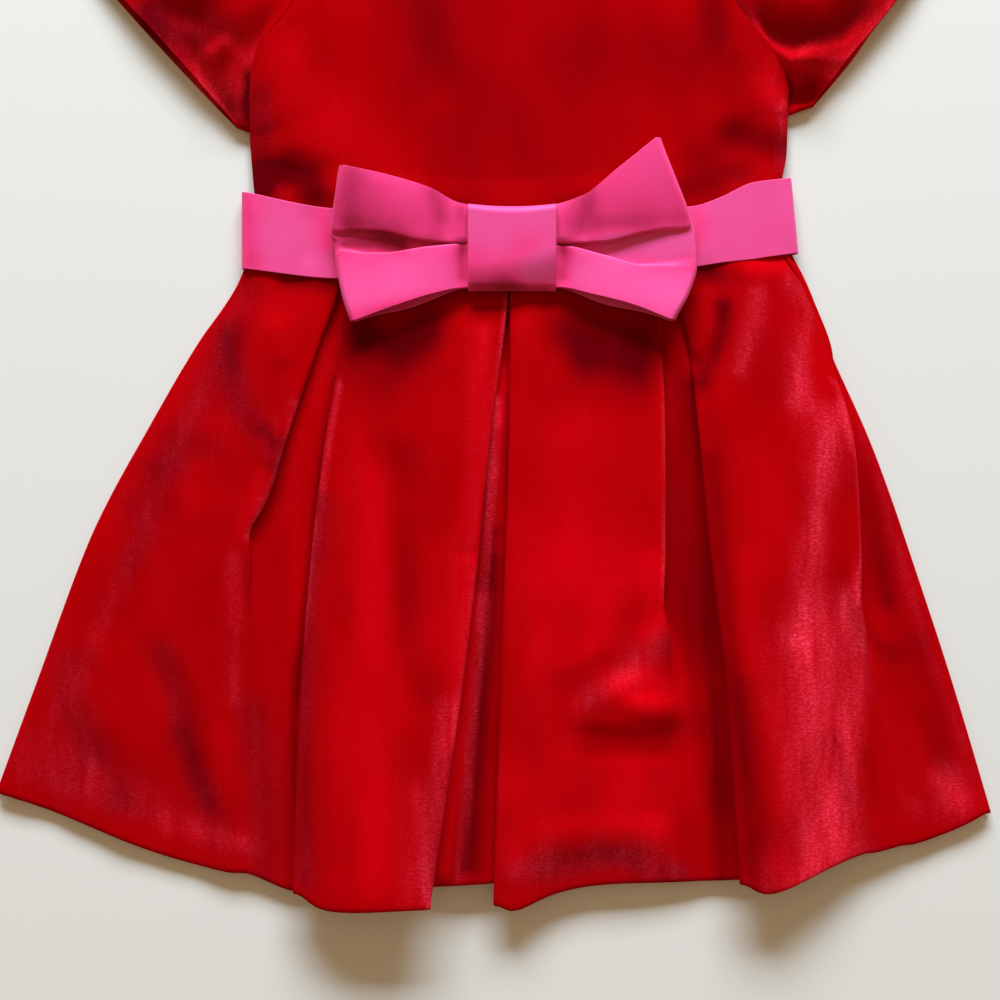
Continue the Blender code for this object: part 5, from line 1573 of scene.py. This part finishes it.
class StageSettings(bpy.types.PropertyGroup):
    """The surface, the lights and the camera."""

    floor: FloatVectorProperty(
        name="Surface", description="Colour of the surface that the dress lies on",
        default=(0.78, 0.79, 0.795), subtype="COLOR", size=3, min=0, max=1,
    )
    camera_height: FloatProperty(
        name="Camera height", description="Height of the camera over the surface",
        default=0.8, unit="LENGTH",
    )
    lens: FloatProperty(
        name="Lens", description="Focal length of the camera, in millimetres",
        default=57.6, min=10, max=300,
    )
    window_power: FloatProperty(
        name="Window", description="Power of the soft light beyond the neck, in watts", default=460, min=0
    )
    room_light: FloatProperty(
        name="Room", description="Strength of the even light from all round", default=0.36, min=0
    )


class DRESS_OT_skirt(bpy.types.Operator):
    """Builds the pleated front of the skirt and its plain back"""

    bl_idname = "dress.skirt"
    bl_label = "Skirt"

    def execute(self, context):
        size = walls()
        front, tone_and_painted_light = skirt_front_points(size.front_seam_z, size.hem)
        front = turn_hem(front)
        tone_and_painted_light = np.concatenate([tone_and_painted_light, nap_at_rest(front[len(tone_and_painted_light):])])
        piece = cloth("skirt_front", "velvet", front, tone_and_painted_light)
        back = skirt_back_points(size.back_seam_z, size.back_z, size.hem)
        piece = cloth("skirt_back", "velvet", back, nap_at_rest(back))
        return {"FINISHED"}


class DRESS_OT_bodice(bpy.types.Operator):
    """Builds the front of the bodice and the two halves of its back"""

    bl_idname = "dress.bodice"
    bl_label = "Bodice"

    def execute(self, context):
        size = walls()
        front = bodice_front_points(size.front_seam_z)
        tone_and_painted_light = nap_at_rest(front) + brushed(BODICE_NAP_AND_PAINTED_LIGHT, front[..., 0], front[..., 1])
        piece = cloth("bodice_front", "velvet", front, tone_and_painted_light)
        for side, node in ((-1, "bodice_back_left"), (1, "bodice_back_right")):
            back = bodice_back_points(side, size.back_seam_z, size.back_z)
            piece = cloth(node, "velvet", back, nap_at_rest(back))
        return {"FINISHED"}


class DRESS_OT_sleeves(bpy.types.Operator):
    """Builds the two short puffed sleeves"""

    bl_idname = "dress.sleeves"
    bl_label = "Sleeves"

    def execute(self, context):
        size = walls()
        for sleeve in SLEEVES:
            grid = sleeve_points(sleeve, size.front_seam_z, size.back_z)
            tone_and_painted_light = nap_at_rest(grid) + brushed(SLEEVE_NAP_AND_PAINTED_LIGHT[sleeve.side], grid[..., 0], grid[..., 1])
            piece = cloth(sleeve.node, "velvet", grid, tone_and_painted_light, ring=True)
        return {"FINISHED"}


class DRESS_OT_sash(bpy.types.Operator):
    """Builds the satin sash that goes all round the waist"""

    bl_idname = "dress.sash"
    bl_label = "Sash"

    def execute(self, context):
        grid = sash_points(walls().satin)
        # painted light: the sash at rest is paler, and its strokes paint the bow's shadow and the shade where
        # it turns
        tone_with_painted_light = nap_at_rest(grid) + (SASH_PAINTED_LIGHT_REST, 0) + brushed(SASH_PAINTED_LIGHT, grid[..., 0], grid[..., 1])
        piece = cloth("sash", "satin", grid, tone_with_painted_light, ring=True)
        return {"FINISHED"}


class DRESS_OT_bow(bpy.types.Operator):
    """Builds the folded bow and the band round its middle"""

    bl_idname = "dress.bow"
    bl_label = "Bow"

    def execute(self, context):
        grid = bow_points()
        # painted shade and light on the bow and the knot
        tone_with_painted_light = nap_at_rest(grid) + brushed(BOW_PAINTED_LIGHT, grid[..., 0], grid[..., 1])
        piece = cloth("bow", "satin", grid, tone_with_painted_light, ring=True)
        grid = knot_points()
        tone_with_painted_light = nap_at_rest(grid) + brushed(KNOT_PAINTED_LIGHT, grid[..., 0], grid[..., 1])
        piece = cloth("bow_knot", "satin", grid, tone_with_painted_light, ring=True)
        return {"FINISHED"}


class DRESS_OT_button(bpy.types.Operator):
    """Builds the small button under the nape"""

    bl_idname = "dress.button"
    bl_label = "Button"

    def execute(self, context):
        angles = np.linspace(0, 2 * math.pi, BUTTON_SIDES, endpoint=False)
        rings = np.stack([
            np.stack([
                CENTRE_X + BUTTON_RADIUS * share * np.cos(angles),
                BUTTON_Y + BUTTON_RADIUS * share * np.sin(angles),
                np.full(BUTTON_SIDES, height),
            ], axis=1)
            for share, height in BUTTON_PROFILE
        ])
        middles = [[CENTRE_X, BUTTON_Y, BUTTON_TOP_Z], [CENTRE_X, BUTTON_Y, 0.0]]
        points = np.concatenate([rings.reshape(-1, 3), middles])
        faces = grid_faces(len(rings), BUTTON_SIDES, True).tolist()
        top, bottom = len(points) - 2, len(points) - 1
        last = top - BUTTON_SIDES
        faces += [[j, top, (j + 1) % BUTTON_SIDES] for j in range(BUTTON_SIDES)]
        faces += [[last + (j + 1) % BUTTON_SIDES, bottom, last + j] for j in range(BUTTON_SIDES)]
        finish = shared_material("red_button_shell", shell)
        piece = new_piece("button_shell", points, faces, finish)
        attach(piece, "root")
        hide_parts("button")
        return {"FINISHED"}


class DRESS_OT_stage(bpy.types.Operator):
    """Builds the surface, the lights and the camera"""

    bl_idname = "dress.stage"
    bl_label = "Stage"

    def execute(self, context):
        scene = context.scene
        settings = scene.dress_stage
        ways = ((-1, -1), (1, -1), (1, 1), (-1, 1))
        corners = [(x * SURFACE_HALF, y * SURFACE_HALF, SURFACE_Z) for x, y in ways]
        finish = plain("pale_surface", settings.floor, SURFACE_ROUGHNESS)
        surface = new_piece("surface", corners, [[0, 1, 2, 3]], finish)
        window = bpy.data.lights.new("window", "AREA")
        window.shape = "RECTANGLE"
        window.size = WINDOW_WIDTH
        window.size_y = WINDOW_HEIGHT
        window.energy = settings.window_power
        window.color = WINDOW_COLOUR
        lamp = bpy.data.objects.new("window", window)
        lamp.location = (0.0, WINDOW_AWAY, WINDOW_UP)
        lamp.rotation_euler = (-math.atan2(WINDOW_AWAY, WINDOW_UP), 0, 0)
        scene.collection.objects.link(lamp)
        world = bpy.data.worlds.new("room")
        world.use_nodes = True
        background = world.node_tree.nodes["Background"]
        background.inputs["Color"].default_value = (*ROOM_COLOUR, 1)
        background.inputs["Strength"].default_value = settings.room_light
        scene.world = world
        scene.view_settings.view_transform = "Standard"
        camera = bpy.data.cameras.new("overhead")
        camera.lens = settings.lens
        camera.sensor_width = SENSOR_WIDTH
        eye = bpy.data.objects.new("overhead", camera)
        eye.location = (OVERHEAD_X, OVERHEAD_Y, settings.camera_height)
        scene.collection.objects.link(eye)
        scene.camera = eye
        return {"FINISHED"}


BUILD_STEPS = ("stage", "skirt", "bodice", "sleeves", "sash", "bow", "button")


class DRESS_PT_panel(bpy.types.Panel):
    """Lists the settings and the pieces"""

    bl_idname = "DRESS_PT_panel"
    bl_label = "Toddler party dress"
    bl_space_type = "VIEW_3D"
    bl_region_type = "UI"
    bl_category = "Dress"

    def draw(self, context):
        layout = self.layout
        for title, settings in (
            ("Sizes", context.scene.dress_sizes),
            ("Colours", context.scene.dress_colours),
            ("Stage", context.scene.dress_stage),
        ):
            box = layout.box()
            box.label(text=title)
            for name in settings.__annotations__:
                box.prop(settings, name)
        for step in BUILD_STEPS:
            layout.operator(f"dress.{step}")


CLASSES = (
    DressSizes, DressColours, StageSettings, DRESS_OT_skirt, DRESS_OT_bodice, DRESS_OT_sleeves, DRESS_OT_sash,
    DRESS_OT_bow, DRESS_OT_button, DRESS_OT_stage, DRESS_PT_panel,
)


def register():
    for kind in CLASSES:
        bpy.utils.register_class(kind)
    bpy.types.Scene.dress_sizes = PointerProperty(type=DressSizes)
    bpy.types.Scene.dress_colours = PointerProperty(type=DressColours)
    bpy.types.Scene.dress_stage = PointerProperty(type=StageSettings)


def unregister():
    del bpy.types.Scene.dress_stage
    del bpy.types.Scene.dress_colours
    del bpy.types.Scene.dress_sizes
    for kind in reversed(CLASSES):
        bpy.utils.unregister_class(kind)


def main():
    register()
    for step in BUILD_STEPS:
        getattr(bpy.ops.dress, step)()


if __name__ == "__main__":
    main()
